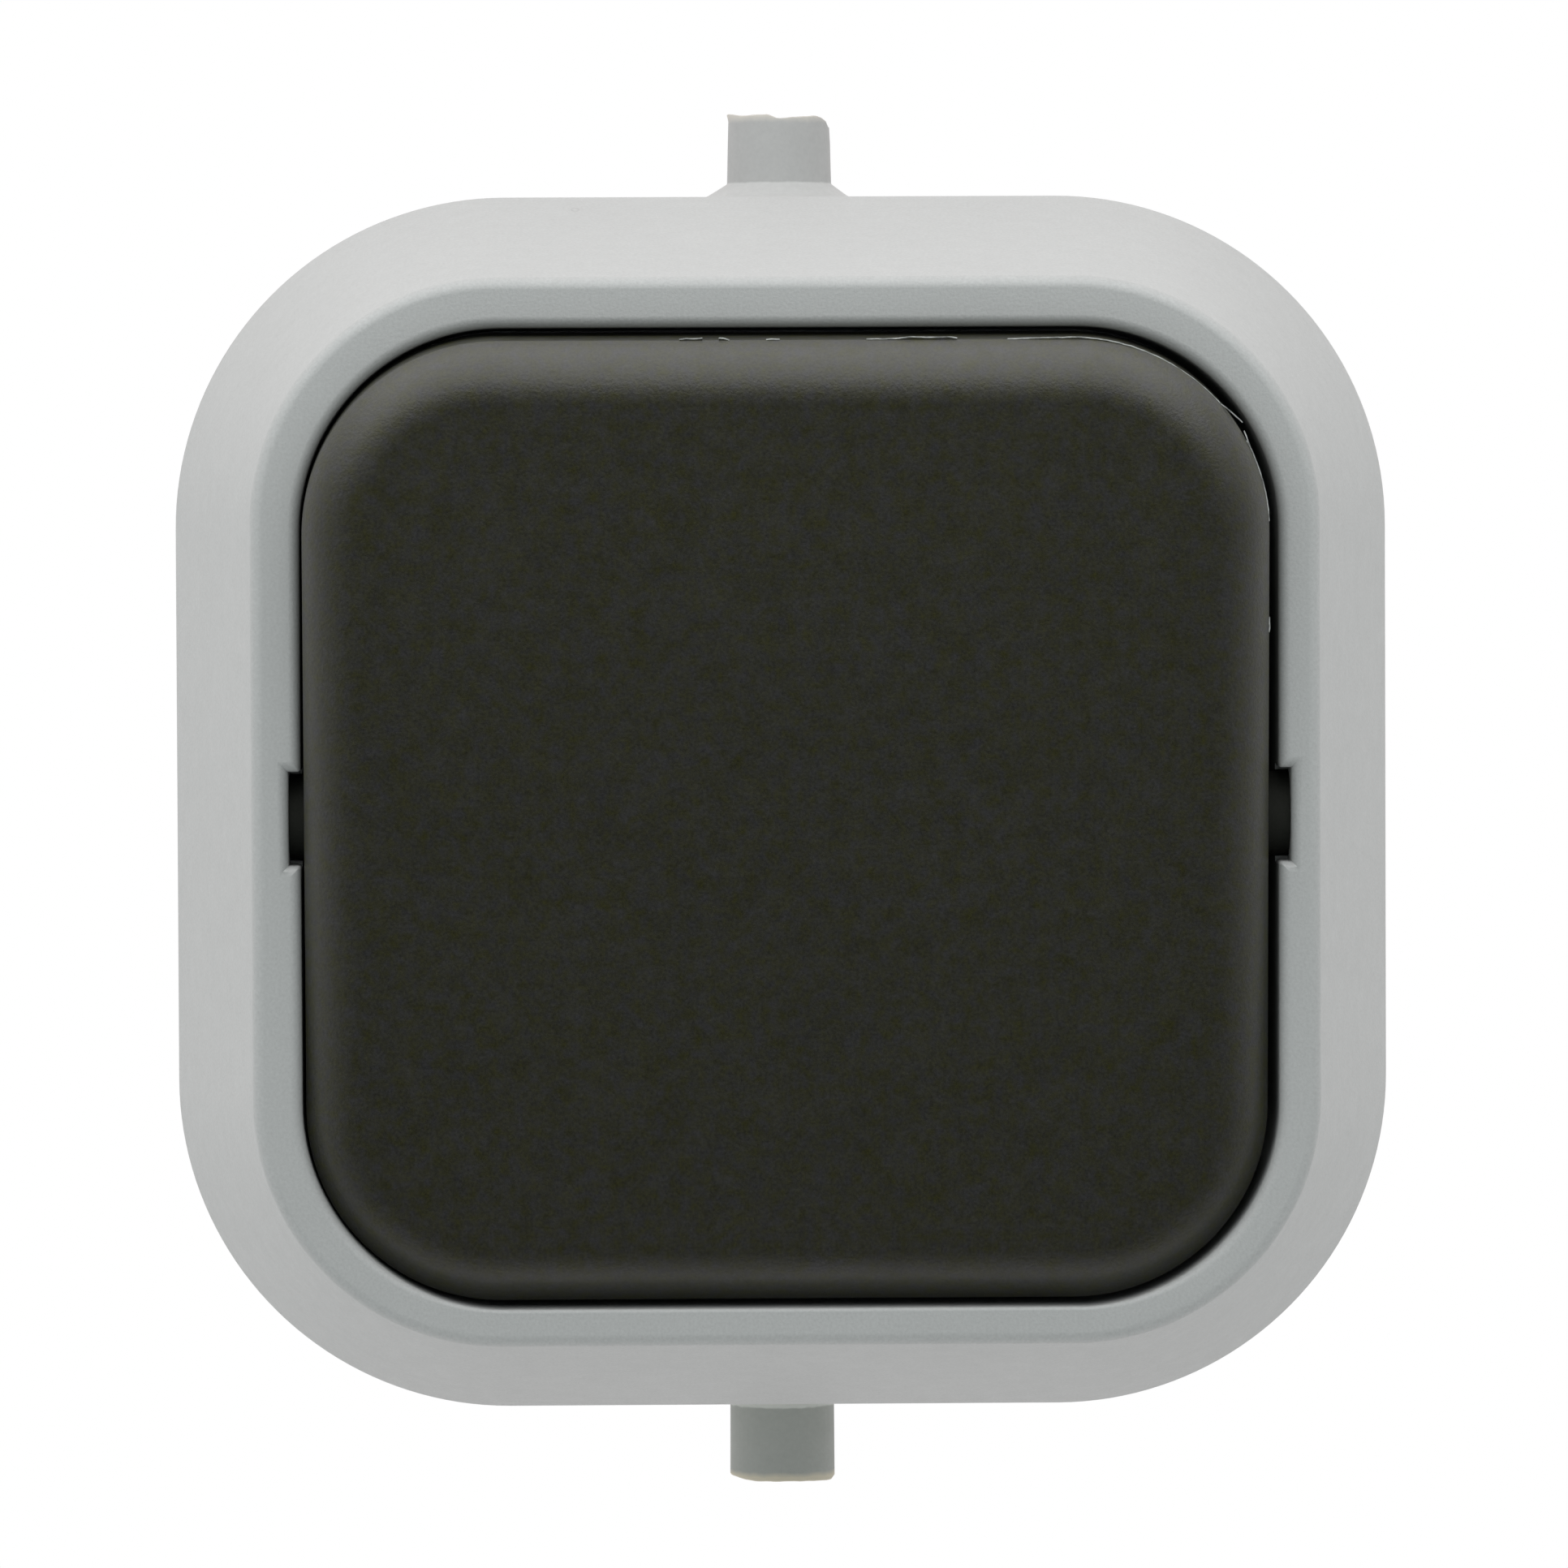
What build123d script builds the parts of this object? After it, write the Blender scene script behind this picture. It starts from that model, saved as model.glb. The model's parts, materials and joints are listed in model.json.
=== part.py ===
from build123d import *
import os
from math import atan, cos, pi, radians, sin, sqrt, tan

# A surface-mounted rocker switch for a damp room: base box, cover, rocker and two-way mechanism.
# It is drawn lying on its back, with x to the right, y up the wall and z out of the wall, and is
# stood up at the end: front towards -Y, +Z up, origin at the centre of the wall face. Millimetres.

# Casing outline
SIDE = 66.0
CORNER_RADIUS = 18.0

# Base box
BASE_DEPTH = 20.0
BASE_SETBACK = 0.6
BASE_DRAFT = 0.4
BASE_WALL = 2.2
BACK_WALL = 2.2
BACK_EDGE_RADIUS = 1.5
BACK_RIM = 4.0
BACK_BAND = 14.0
BACK_RECESS = 0.6
WALL_SLOT_SPACING = 44.0
WALL_SLOT_LENGTH = 9.0
WALL_SLOT_WIDTH = 4.5
BOSS_RADIUS = 3.3
BOSS_RIB = 1.2
BOSS_TO_TONGUE = 1.1

# Cable entries and their soft grommets
ENTRY_DEPTH = 10.0
ENTRY_HOLE_RADIUS = 3.5
ENTRY_BOSS_RADIUS = 6.2
ENTRY_BOSS_PROUD = 0.3
GROMMET_FLANGE_RADIUS = 5.0
GROMMET_FLANGE = 1.5
GROMMET_FIT = 0.05
COLLAR_RADIUS = 5.1
COLLAR_EDGE = 0.25
COLLAR_HEIGHT = 1.5
NOZZLE_ROOT_RADIUS = 2.9
NOZZLE_TIP_RADIUS = 2.76
NOZZLE_LENGTH = 4.2
NOZZLE_BORE_RADIUS = 2.1
NOZZLE_MEMBRANE = 0.9
NOZZLE_TIP_EDGE = 0.3
TEAR_DEPTH = 0.57
TEAR_DIP = 0.17
TEAR_SPUR_WIDTH = 0.9
TEAR_DIP_WIDTH = 0.6
TEAR_CORNER_WIDTH = 1.0
WORN_CORNER_WIDTH = 1.3
WORN_CORNER_DEPTH = 0.28

# Gasket between base and cover
GASKET_WIDTH = 1.3
GASKET_HEIGHT = 1.4
GASKET_PROUD = 0.4
GASKET_FIT = 0.05

# Cover
COVER_HEIGHT = 23.6
COVER_WALL = 2.0
SLOPE_INSET = 5.2
RING_WIDTH = 2.28
RING_EDGE_RADIUS = 1.1
OPENING_EDGE_RADIUS = 0.75
FILLET_SHARE = 0.9
RIM_EDGE_RADIUS = 0.4
RIM_LAND = 0.9
RIM_WEB = 2.2
TONGUE_THICKNESS = 1.0
TONGUE_LENGTH = 2.8
TONGUE_CLEARANCE = 0.3
WELL_DEPTH = 9.9
WELL_WALL = 1.6
PAN_THICKNESS = 1.8
WINDOW_WIDTH = 15.0
WINDOW_HEIGHT = 11.0
WINDOW_CORNER = 2.0
WINDOW_COLLAR = 1.3
WINDOW_COLLAR_HEIGHT = 1.5
LEAD_IN_WIDTH = 4.9
LEAD_IN_DEPTH = 0.65
LEAD_IN_LIP_RADIUS = 0.2

# Cover screws, at two corners of the well
POST_RADIUS = 4.2
POST_GAP = 0.2
POST_TO_WELL = 0.3
COVER_SCREW_RADIUS = 1.6
COVER_SCREW_LENGTH = 24.0
COVER_HEAD_RADIUS = 3.0
COVER_HEAD_HEIGHT = 1.7
COVER_HEAD_SINK = 2.0
HEAD_CLEARANCE = 0.3
SHANK_CLEARANCE = 0.3
PILOT_CLEARANCE = 0.05
PILOT_SPARE = 1.0
DRIVE_SLOT = 0.8
DRIVE_DEPTH = 0.9

# Rocker
ROCKER_GAP = 0.26
ROCKER_HEIGHT = 6.4
ROCKER_PROUD = 2.2
CROWN_RADIUS = 3.7
CROWN_OVERHANG = 0.5
ROCKER_WALL = 2.0
ROCKER_SKIN = 2.0
ROCKER_DRAFT = 1.6
ROCKER_RIB = 1.2
ROCKER_RIB_HEIGHT = 2.5
ROCKER_TILT = 4.5
ROCKER_SIDE_PLAY = 0.2
PIVOT_HEIGHT = 6.872
TRUNNION_RADIUS = 2.2
TRUNNION_REACH = 1.4
TRUNNION_CLEARANCE = 0.08
TRUNNION_END_PLAY = 0.25
EAR_LAND = 0.6
STEM_WIDTH = 8.0
STEM_NECK = 1.6
STEM_ROOT = 5.0
STEM_TIP_RADIUS = 1.2

# Seal and frame round the toggle
SEAL_THICKNESS = 1.5
CHIMNEY_WIDTH = 18.0
CHIMNEY_HEIGHT = 14.0
CHIMNEY_WALL = 1.5
CHIMNEY_CORNER = 2.5
FRAME_DEPTH = 9.2
FLANGE_THICKNESS = 1.8
RIVET_X = 7.0
RIVET_Y = 12.5
RIVET_RADIUS = 1.2
RIVET_HEAD_RADIUS = 2.1
RIVET_HEAD = 0.8
RIVET_CLEARANCE = 0.05

# Strap
STRAP_THICKNESS = 1.0
STRAP_ARM = 12.0
STRAP_EAR = 3.4
STRAP_WINDOW_WIDTH = 11.0
STRAP_WINDOW_HEIGHT = 12.0
STRAP_SCREW_RADIUS = 1.5
STRAP_SCREW_LENGTH = 12.0
STRAP_HEAD_RADIUS = 2.8
STRAP_HEAD_HEIGHT = 1.8

# Toggle, plunger and spring
TOGGLE_AXIS_HEIGHT = 3.5
FORK_REACH = 5.76
FORK_ABOVE = 1.2
FORK_CLEARANCE = 0.1
FORK_FLOOR = 0.5
TOGGLE_WIDTH = 8.4
TOGGLE_HEIGHT = 5.8
TOGGLE_DROP = 6.0
TOGGLE_EDGE_RADIUS = 0.6
TOGGLE_PIN_RADIUS = 1.5
TOGGLE_PIN_CLEARANCE = 0.05
SNAP_SLOT = 2.5
PLUNGER_RADIUS = 1.6
PLUNGER_CLEARANCE = 0.08
PLUNGER_REACH = 7.8
PLUNGER_TIP_RADIUS = 1.2
PLUNGER_BODY = 3.2
PILOT_PIN_RADIUS = 0.8
PILOT_PIN_LENGTH = 1.6
BORE_PAST_AXIS = 1.2
SPRING_WIRE = 0.45
SPRING_TURNS = 4

# Contact rocker on its knife edge
SADDLE_CLEARANCE = 0.03
CONTACT_THICKNESS = 1.2
CONTACT_WIDTH = 6.0
CONTACT_ARM = 10.0
CONTACT_END = 1.8
CHEEK_THICKNESS = 0.6
CHEEK_HEIGHT = 1.0
CHEEK_LENGTH = 6.0
KNIFE_RADIUS = 0.55
KNIFE_CLEARANCE = 0.05
TIP_RADIUS = 1.5
TIP_HEIGHT = 0.7
TIP_GAP = 0.05
FIXED_TIP_HEIGHT = 0.9

# Contact strips and terminals
STRIP_THICKNESS = 0.8
STRIP_WIDTH = 4.4
STRIP_FIT = 0.05
TERMINAL_X = 13.2
CLAMP_WIDTH = 6.5
CLAMP_HEIGHT = 6.8
CLAMP_DEPTH = 6.8
WIRE_HOLE_RADIUS = 1.3
WIRE_HOLE_FLOOR = 0.4
TERMINAL_SCREW_RADIUS = 1.4
TERMINAL_HEAD_RADIUS = 2.4
TERMINAL_HEAD_HEIGHT = 1.4
ACCESS_CLEARANCE = 0.4

# Socket
SOCKET_WIDTH = 35.0
SOCKET_HEIGHT = 32.0
SOCKET_DEPTH = 14.0
SOCKET_CORNER = 3.0
CHAMBER_MARGIN = 1.2
SOCKET_CLEARANCE = 0.4

# Levels above the wall
rim_z = BASE_DEPTH + GASKET_PROUD
ring_z = rim_z + COVER_HEIGHT
pan_top = ring_z - WELL_DEPTH
pan_under = pan_top - PAN_THICKNESS
rocker_axis = pan_top + PIVOT_HEIGHT
rocker_face = ring_z + ROCKER_PROUD
rocker_rim = rocker_face - ROCKER_HEIGHT
chimney_top = pan_under - SEAL_THICKNESS
strap_top = chimney_top - FRAME_DEPTH
strap_under = strap_top - STRAP_THICKNESS
socket_back = strap_under - SOCKET_DEPTH
toggle_axis = strap_top + TOGGLE_AXIS_HEIGHT
stem_z = toggle_axis + FORK_REACH
tip_z = toggle_axis - PLUNGER_REACH
contact_top = tip_z - PLUNGER_TIP_RADIUS - SADDLE_CLEARANCE
contact_axis = contact_top - CONTACT_THICKNESS

# Tilts at rest: the stem's reach over the fork's reach gears the toggle and the contact rocker
toggle_tilt = ROCKER_TILT * (rocker_axis - stem_z) / FORK_REACH
contact_tilt = toggle_tilt
closed_drop = TIP_HEIGHT * cos(radians(contact_tilt)) + CONTACT_ARM * sin(radians(contact_tilt))
closed_y = CONTACT_ARM * cos(radians(contact_tilt)) - TIP_HEIGHT * sin(radians(contact_tilt))
strip_top = contact_axis - closed_drop - TIP_GAP - FIXED_TIP_HEIGHT
chamber_floor = strip_top - STRIP_THICKNESS
wire_z = strip_top + WIRE_HOLE_FLOOR + WIRE_HOLE_RADIUS

# Half widths from the centre
rim_half = SIDE / 2
corner_reach = rim_half - CORNER_RADIUS
base_half = rim_half - BASE_SETBACK
base_inner = base_half - BASE_WALL
tongue_outer = base_inner - TONGUE_CLEARANCE
tongue_inner = tongue_outer - TONGUE_THICKNESS
ring_half = rim_half - SLOPE_INSET
well_half = ring_half - RING_WIDTH
rocker_half = well_half - ROCKER_GAP
entry_seat = base_half + ENTRY_BOSS_PROUD
strap_x = tongue_inner - BOSS_TO_TONGUE - BOSS_RADIUS
flange_length = SOCKET_HEIGHT
head_seat_radius = COVER_HEAD_RADIUS + HEAD_CLEARANCE
post_at = corner_reach + (well_half - corner_reach - head_seat_radius - POST_TO_WELL) / sqrt(2)
post_places = [(post_at, post_at), (-post_at, -post_at)]
strap_places = [(-strap_x, 0), (strap_x, 0)]
rivet_places = [(RIVET_X, RIVET_Y), (-RIVET_X, -RIVET_Y)]
terminal_places = [(TERMINAL_X, 0), (-TERMINAL_X, closed_y), (TERMINAL_X, -closed_y)]


# Shared shapes
def outline(half):
    """Rounded square; every one has its corners about the same four centres."""
    return RectangleRounded(2 * half, 2 * half, half - corner_reach)


def slab(sketch, bottom, top):
    return extrude(Pos(0, 0, bottom) * sketch, top - bottom)


def peg(place, radius, bottom, top):
    return slab(Pos(*place) * Circle(radius), bottom, top)


def brick(width, height, bottom, top, x=0, y=0):
    return slab(Pos(x, y) * Rectangle(width, height), bottom, top)


def cross_bar(radius, start, end, z):
    """Round bar along x."""
    return Pos(start, 0, z) * extrude(Plane.YZ * Circle(radius), end - start)


def upright_bar(radius, start, end, x, z):
    """Round bar along y."""
    return Pos(x, start, z) * extrude(Plane.XZ * Circle(radius), start - end)


def wall_section(points, radii):
    """Section of a wall, drawn in distance from the centre and height above the wall."""
    return make_face(FilletPolyline(*points, radius=radii, close=True))


def carried_round(section):
    """Carry a wall section round the rounded square: four straight sides and four corners."""
    side = extrude(Plane.XZ.offset(-corner_reach) * section, 2 * corner_reach)
    corner_axis = Axis((corner_reach, corner_reach, 0), (0, 0, 1))
    corner = revolve(Plane.XZ.offset(-corner_reach) * section, corner_axis, 90)
    return Part() + [Rot(0, 0, 90 * turn) * piece for turn in range(4) for piece in (side, corner)]


def across(section, width):
    """Extrude a section drawn in y and z to both sides of the middle."""
    return extrude(Plane.YZ * section, width / 2, both=True)


def tilted(shape, axis_z, angle):
    """Turn about a horizontal axis along x; a positive angle brings the upper end forward."""
    return shape.rotate(Axis((0, 0, axis_z), (1, 0, 0)), angle)


def slotted_screw(seat, head_radius, head_height, shank_radius, length):
    centre = (0, 0)
    top = seat + head_height
    head = peg(centre, head_radius, seat, top)
    head = fillet(head.edges().group_by(Axis.Z)[-1], head_height / 3)
    screw = head + peg(centre, shank_radius, seat - length, seat)
    return screw - brick(2 * head_radius, DRIVE_SLOT, top - DRIVE_DEPTH, top)


# Base box
def make_base_box():
    section = wall_section(
        [
            (base_inner, 0),
            (base_half - BASE_DRAFT, 0),
            (base_half, BASE_DEPTH),
            (base_inner, BASE_DEPTH),
        ],
        [0, BACK_EDGE_RADIUS, 0, 0],
    )
    box = carried_round(section) + slab(outline(base_inner), 0, BACK_WALL)

    # Bosses for the strap, each with a rib to the side wall
    rib_top = rim_z - TONGUE_LENGTH - BOSS_RIB
    for x, y in strap_places:
        rib_length = base_inner - strap_x
        rib_x = x + rib_length / 2 if x > 0 else x - rib_length / 2
        box += peg((x, y), BOSS_RADIUS, BACK_WALL, strap_under)
        box += brick(rib_length, BOSS_RIB, BACK_WALL, rib_top, rib_x, y)
        pilot_end = strap_top - STRAP_SCREW_LENGTH - PILOT_SPARE
        box -= peg((x, y), STRAP_SCREW_RADIUS + PILOT_CLEARANCE, pilot_end, strap_under)

    # Bosses for the cover screws
    boss_top = rim_z - POST_GAP
    head_seat = pan_top - COVER_HEAD_SINK
    for place in post_places:
        box += peg(place, BOSS_RADIUS, BACK_WALL, boss_top)
        pilot_end = head_seat - COVER_SCREW_LENGTH - PILOT_SPARE
        box -= peg(place, COVER_SCREW_RADIUS + PILOT_CLEARANCE, pilot_end, boss_top)

    # Cable entries at top and bottom
    for up in (1, -1):
        box += upright_bar(ENTRY_BOSS_RADIUS, up * base_inner, up * entry_seat, 0, ENTRY_DEPTH)
    for up in (1, -1):
        start = up * (base_inner - ENTRY_BOSS_PROUD)
        box -= upright_bar(ENTRY_HOLE_RADIUS, start, up * entry_seat, 0, ENTRY_DEPTH)

    # Slots for the wall screws, and the recessed parts of the back
    for up in (1, -1):
        slot = SlotOverall(WALL_SLOT_LENGTH, WALL_SLOT_WIDTH, rotation=90)
        box -= slab(Pos(0, up * WALL_SLOT_SPACING / 2) * slot, 0, BACK_WALL)
    recess = outline(base_half - BASE_DRAFT - BACK_RIM) - Rectangle(BACK_BAND, SIDE)
    return box - slab(recess, 0, BACK_RECESS)


# Soft grommets
def make_grommet():
    """Turned about y, with its wall groove on the entry hole and its nozzle closed by a membrane."""
    neck = ENTRY_HOLE_RADIUS - GROMMET_FIT
    inside = base_inner - GROMMET_FIT
    outside = entry_seat + GROMMET_FIT
    nozzle_root = entry_seat + COLLAR_HEIGHT
    nozzle_end = nozzle_root + NOZZLE_LENGTH
    section = make_face(
        FilletPolyline(
            (0, nozzle_end),
            (0, nozzle_end - NOZZLE_MEMBRANE),
            (NOZZLE_BORE_RADIUS, nozzle_end - NOZZLE_MEMBRANE),
            (NOZZLE_BORE_RADIUS, inside - GROMMET_FLANGE),
            (GROMMET_FLANGE_RADIUS, inside - GROMMET_FLANGE),
            (GROMMET_FLANGE_RADIUS, inside),
            (neck, inside),
            (neck, outside),
            (COLLAR_RADIUS, outside),
            (COLLAR_RADIUS, outside + COLLAR_EDGE),
            (NOZZLE_ROOT_RADIUS, nozzle_root),
            (NOZZLE_TIP_RADIUS, nozzle_end),
            radius=[0, 0, 0, 0, 0, 0, 0, 0, 0, 0, NOZZLE_TIP_EDGE, NOZZLE_TIP_EDGE],
            close=True,
        )
    )
    return Pos(0, 0, ENTRY_DEPTH) * revolve(section, Axis.Y)


def make_top_grommet():
    """The upper nozzle's end is torn: a spur at the left, a dip and a low right corner."""
    end = entry_seat + COLLAR_HEIGHT + NOZZLE_LENGTH
    torn = end - TEAR_DEPTH
    half = NOZZLE_ROOT_RADIUS
    lost = Polyline(
        (-half, torn + TEAR_DIP),
        (TEAR_SPUR_WIDTH - half, torn),
        (-TEAR_DIP_WIDTH, torn),
        (0, torn - TEAR_DIP),
        (TEAR_DIP_WIDTH, torn),
        (half - TEAR_CORNER_WIDTH, torn),
        (half, torn - 2 * TEAR_DIP),
        (half, end),
        (-half, end),
        close=True,
    )
    return make_grommet() - slab(make_face(lost), ENTRY_DEPTH - half, ENTRY_DEPTH + half)


def make_bottom_grommet():
    """The lower nozzle's left corner is worn away at a slant."""
    end = entry_seat + COLLAR_HEIGHT + NOZZLE_LENGTH
    half = NOZZLE_ROOT_RADIUS
    lost = Polyline(
        (half, end),
        (half, end - WORN_CORNER_DEPTH),
        (half - WORN_CORNER_WIDTH, end),
        close=True,
    )
    grommet = make_grommet() - slab(make_face(lost), ENTRY_DEPTH - half, ENTRY_DEPTH + half)
    return Rot(0, 0, 180) * grommet


# Gasket, seated on the base's edge and in the cover's groove
def gasket_section(fit):
    middle = base_half - BASE_WALL / 2
    low = middle - GASKET_WIDTH / 2 - fit
    high = middle + GASKET_WIDTH / 2 + fit
    top = BASE_DEPTH + GASKET_HEIGHT
    return wall_section([(low, BASE_DEPTH), (high, BASE_DEPTH), (high, top), (low, top)], 0)


# Cover
def is_lip(edge):
    """True for an upright edge where a lead-in notch meets the wall of the well."""
    middle = edge.center()
    at_wall = abs(abs(middle.X) - well_half) < LEAD_IN_LIP_RADIUS
    return at_wall and abs(abs(middle.Y) - LEAD_IN_WIDTH / 2) < LEAD_IN_LIP_RADIUS


def make_front_cover():
    slope = SLOPE_INSET / (COVER_HEIGHT - RIM_LAND)
    slope_foot = rim_z + RIM_LAND
    inner_rim = rim_half - COVER_WALL
    web_top = rim_z + RIM_WEB
    well_back = well_half + WELL_WALL
    meeting_z = slope_foot + (inner_rim - well_back) / slope
    section = wall_section(
        [
            (tongue_inner, rim_z - TONGUE_LENGTH),
            (tongue_outer, rim_z - TONGUE_LENGTH),
            (tongue_outer, rim_z),
            (rim_half, rim_z),
            (rim_half, slope_foot),
            (ring_half, ring_z),
            (well_half, ring_z),
            (well_half, pan_under),
            (well_back, pan_under),
            (well_back, meeting_z),
            (inner_rim - slope * (web_top - slope_foot), web_top),
            (tongue_inner, web_top),
        ],
        [0, 0, 0, RIM_EDGE_RADIUS, 0, RING_EDGE_RADIUS, 0, 0, 0, 0, 0, 0],
    )
    cover = carried_round(section) - carried_round(gasket_section(GASKET_FIT))

    # Floor of the well with its collared window
    window = RectangleRounded(WINDOW_WIDTH, WINDOW_HEIGHT, WINDOW_CORNER)
    collar = RectangleRounded(
        WINDOW_WIDTH + 2 * WINDOW_COLLAR, WINDOW_HEIGHT + 2 * WINDOW_COLLAR, WINDOW_CORNER + WINDOW_COLLAR
    )
    cover += slab(outline(well_half), pan_under, pan_top)
    cover += slab(collar, pan_under, pan_top + WINDOW_COLLAR_HEIGHT)
    cover -= slab(window, pan_under, pan_top + WINDOW_COLLAR_HEIGHT)

    # Posts with sunk screw seats
    for place in post_places:
        cover += peg(place, POST_RADIUS, rim_z, pan_under)
        cover -= peg(place, head_seat_radius, pan_top - COVER_HEAD_SINK, pan_top)
        cover -= peg(place, COVER_SCREW_RADIUS + SHANK_CLEARANCE, rim_z, pan_top)

    # Lead-in notches and round bearings for the trunnions
    bearing_end = rocker_half + TRUNNION_REACH + ROCKER_SIDE_PLAY + TRUNNION_END_PLAY
    notch_end = well_half + LEAD_IN_DEPTH
    for turn in (Rot(0, 0, 0), Rot(0, 0, 180)):
        bearing_radius = TRUNNION_RADIUS + TRUNNION_CLEARANCE
        cover -= turn * cross_bar(bearing_radius, rocker_half, bearing_end, rocker_axis)
        notch_x = (rocker_half + notch_end) / 2
        cover -= turn * brick(notch_end - rocker_half, LEAD_IN_WIDTH, rocker_axis, ring_z, notch_x)

    # Rounded lips of the notches, then one rounded edge all round the opening
    lips = [e for e in cover.edges().filter_by(Axis.Z) if is_lip(e)]
    cover = fillet(lips, LEAD_IN_LIP_RADIUS)
    ring_edge_reach = RING_EDGE_RADIUS * tan((pi / 2 - atan(slope)) / 2)
    ring_land = RING_WIDTH - LEAD_IN_DEPTH - ring_edge_reach
    ring_face = cover.faces().filter_by_position(Axis.Z, ring_z, ring_z)[0]
    edge_radius = min(OPENING_EDGE_RADIUS, FILLET_SHARE * ring_land)
    return fillet(ring_face.inner_wires()[0].edges(), edge_radius)


def make_cover_screws():
    seat = pan_top - COVER_HEAD_SINK
    screw = slotted_screw(
        seat, COVER_HEAD_RADIUS, COVER_HEAD_HEIGHT, COVER_SCREW_RADIUS, COVER_SCREW_LENGTH
    )
    return Part() + [Pos(*place) * screw for place in post_places]


# Rocker, drawn level and then tilted to rest with its lower end pressed in
def make_rocker():
    body = extrude(Pos(0, 0, rocker_rim) * outline(rocker_half), ROCKER_HEIGHT, taper=ROCKER_DRAFT)
    face_half = rocker_half - ROCKER_HEIGHT * tan(radians(ROCKER_DRAFT))

    # A crown whose rounding would overhang the wall, so that it meets the wall in a crisp rim
    crown = slab(outline(face_half + CROWN_OVERHANG), rocker_rim, rocker_face)
    body &= fillet(crown.edges().group_by(Axis.Z)[-1], CROWN_RADIUS)
    inside = outline(rocker_half - ROCKER_WALL)
    skin_under = rocker_face - ROCKER_SKIN
    body -= extrude(Pos(0, 0, rocker_rim) * inside, skin_under - rocker_rim, taper=ROCKER_DRAFT)

    # Stiffening ribs under the face
    rib_length = 2 * (rocker_half - ROCKER_WALL)
    body += brick(rib_length, ROCKER_RIB, skin_under - ROCKER_RIB_HEIGHT, skin_under)
    body += brick(ROCKER_RIB, rib_length, skin_under - ROCKER_RIB_HEIGHT, skin_under)

    # Side ears with trunnions
    ear_radius = TRUNNION_RADIUS + EAR_LAND
    ear_inner = rocker_half - ROCKER_WALL
    for turn in (Rot(0, 0, 0), Rot(0, 0, 180)):
        ear = cross_bar(ear_radius, ear_inner, face_half, rocker_axis)
        ear += cross_bar(TRUNNION_RADIUS, ear_inner, rocker_half + TRUNNION_REACH, rocker_axis)
        body += turn * ear

    # Stem that drives the toggle's fork
    neck = STEM_NECK / 2
    root = STEM_ROOT / 2
    neck_z = stem_z + 2 * STEM_TIP_RADIUS
    blade = Polyline(
        (-neck, stem_z),
        (neck, stem_z),
        (neck, neck_z),
        (root, skin_under),
        (-root, skin_under),
        (-neck, neck_z),
        close=True,
    )
    body += across(make_face(blade), STEM_WIDTH)
    body += cross_bar(STEM_TIP_RADIUS, -STEM_WIDTH / 2, STEM_WIDTH / 2, stem_z)
    return Pos(-ROCKER_SIDE_PLAY, 0, 0) * tilted(body, rocker_axis, ROCKER_TILT)


# Seal, toggle frame, strap and their fasteners
def chimney_outline(grow):
    return RectangleRounded(CHIMNEY_WIDTH + 2 * grow, CHIMNEY_HEIGHT + 2 * grow, CHIMNEY_CORNER + grow)


def make_window_seal():
    return slab(chimney_outline(CHIMNEY_WALL) - chimney_outline(0), chimney_top, pan_under)


def make_toggle_frame():
    flange = RectangleRounded(CHIMNEY_WIDTH + 2 * CHIMNEY_WALL, flange_length, CHIMNEY_CORNER)
    frame = slab(flange, strap_top, strap_top + FLANGE_THICKNESS)
    frame += slab(chimney_outline(CHIMNEY_WALL), strap_top, chimney_top)
    frame -= slab(chimney_outline(0), strap_top, chimney_top)
    reach = CHIMNEY_WIDTH / 2 + CHIMNEY_WALL
    frame -= cross_bar(TOGGLE_PIN_RADIUS + TOGGLE_PIN_CLEARANCE, -reach, reach, toggle_axis)
    frame -= brick(2 * reach, SNAP_SLOT, strap_top, toggle_axis)
    for place in rivet_places:
        frame -= peg(place, RIVET_RADIUS + RIVET_CLEARANCE, strap_top, strap_top + FLANGE_THICKNESS)
    return frame


def make_mounting_strap():
    arm_length = 2 * (strap_x + STRAP_EAR)
    plan = RectangleRounded(arm_length, STRAP_ARM, STRAP_EAR)
    plan += RectangleRounded(CHIMNEY_WIDTH + 2 * CHIMNEY_WALL, flange_length, CHIMNEY_CORNER)
    plan -= RectangleRounded(STRAP_WINDOW_WIDTH, STRAP_WINDOW_HEIGHT, WINDOW_CORNER)
    plan -= Pos(TERMINAL_X, 0) * Circle(TERMINAL_HEAD_RADIUS + ACCESS_CLEARANCE)
    for place in strap_places:
        plan -= Pos(*place) * Circle(STRAP_SCREW_RADIUS + SHANK_CLEARANCE)
    for place in rivet_places:
        plan -= Pos(*place) * Circle(RIVET_RADIUS + RIVET_CLEARANCE)
    return slab(plan, strap_under, strap_top)


def make_strap_screws():
    screw = slotted_screw(
        strap_top, STRAP_HEAD_RADIUS, STRAP_HEAD_HEIGHT, STRAP_SCREW_RADIUS, STRAP_SCREW_LENGTH
    )
    return Part() + [Pos(*place) * screw for place in strap_places]


def make_frame_rivets():
    top = strap_top + FLANGE_THICKNESS
    rivets = []
    for place in rivet_places:
        shank = peg(place, RIVET_RADIUS, socket_back, top)
        heads = peg(place, RIVET_HEAD_RADIUS, top, top + RIVET_HEAD)
        heads += peg(place, RIVET_HEAD_RADIUS, socket_back, socket_back + RIVET_HEAD)
        rivets.append(shank + heads)
    return Part() + rivets


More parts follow.
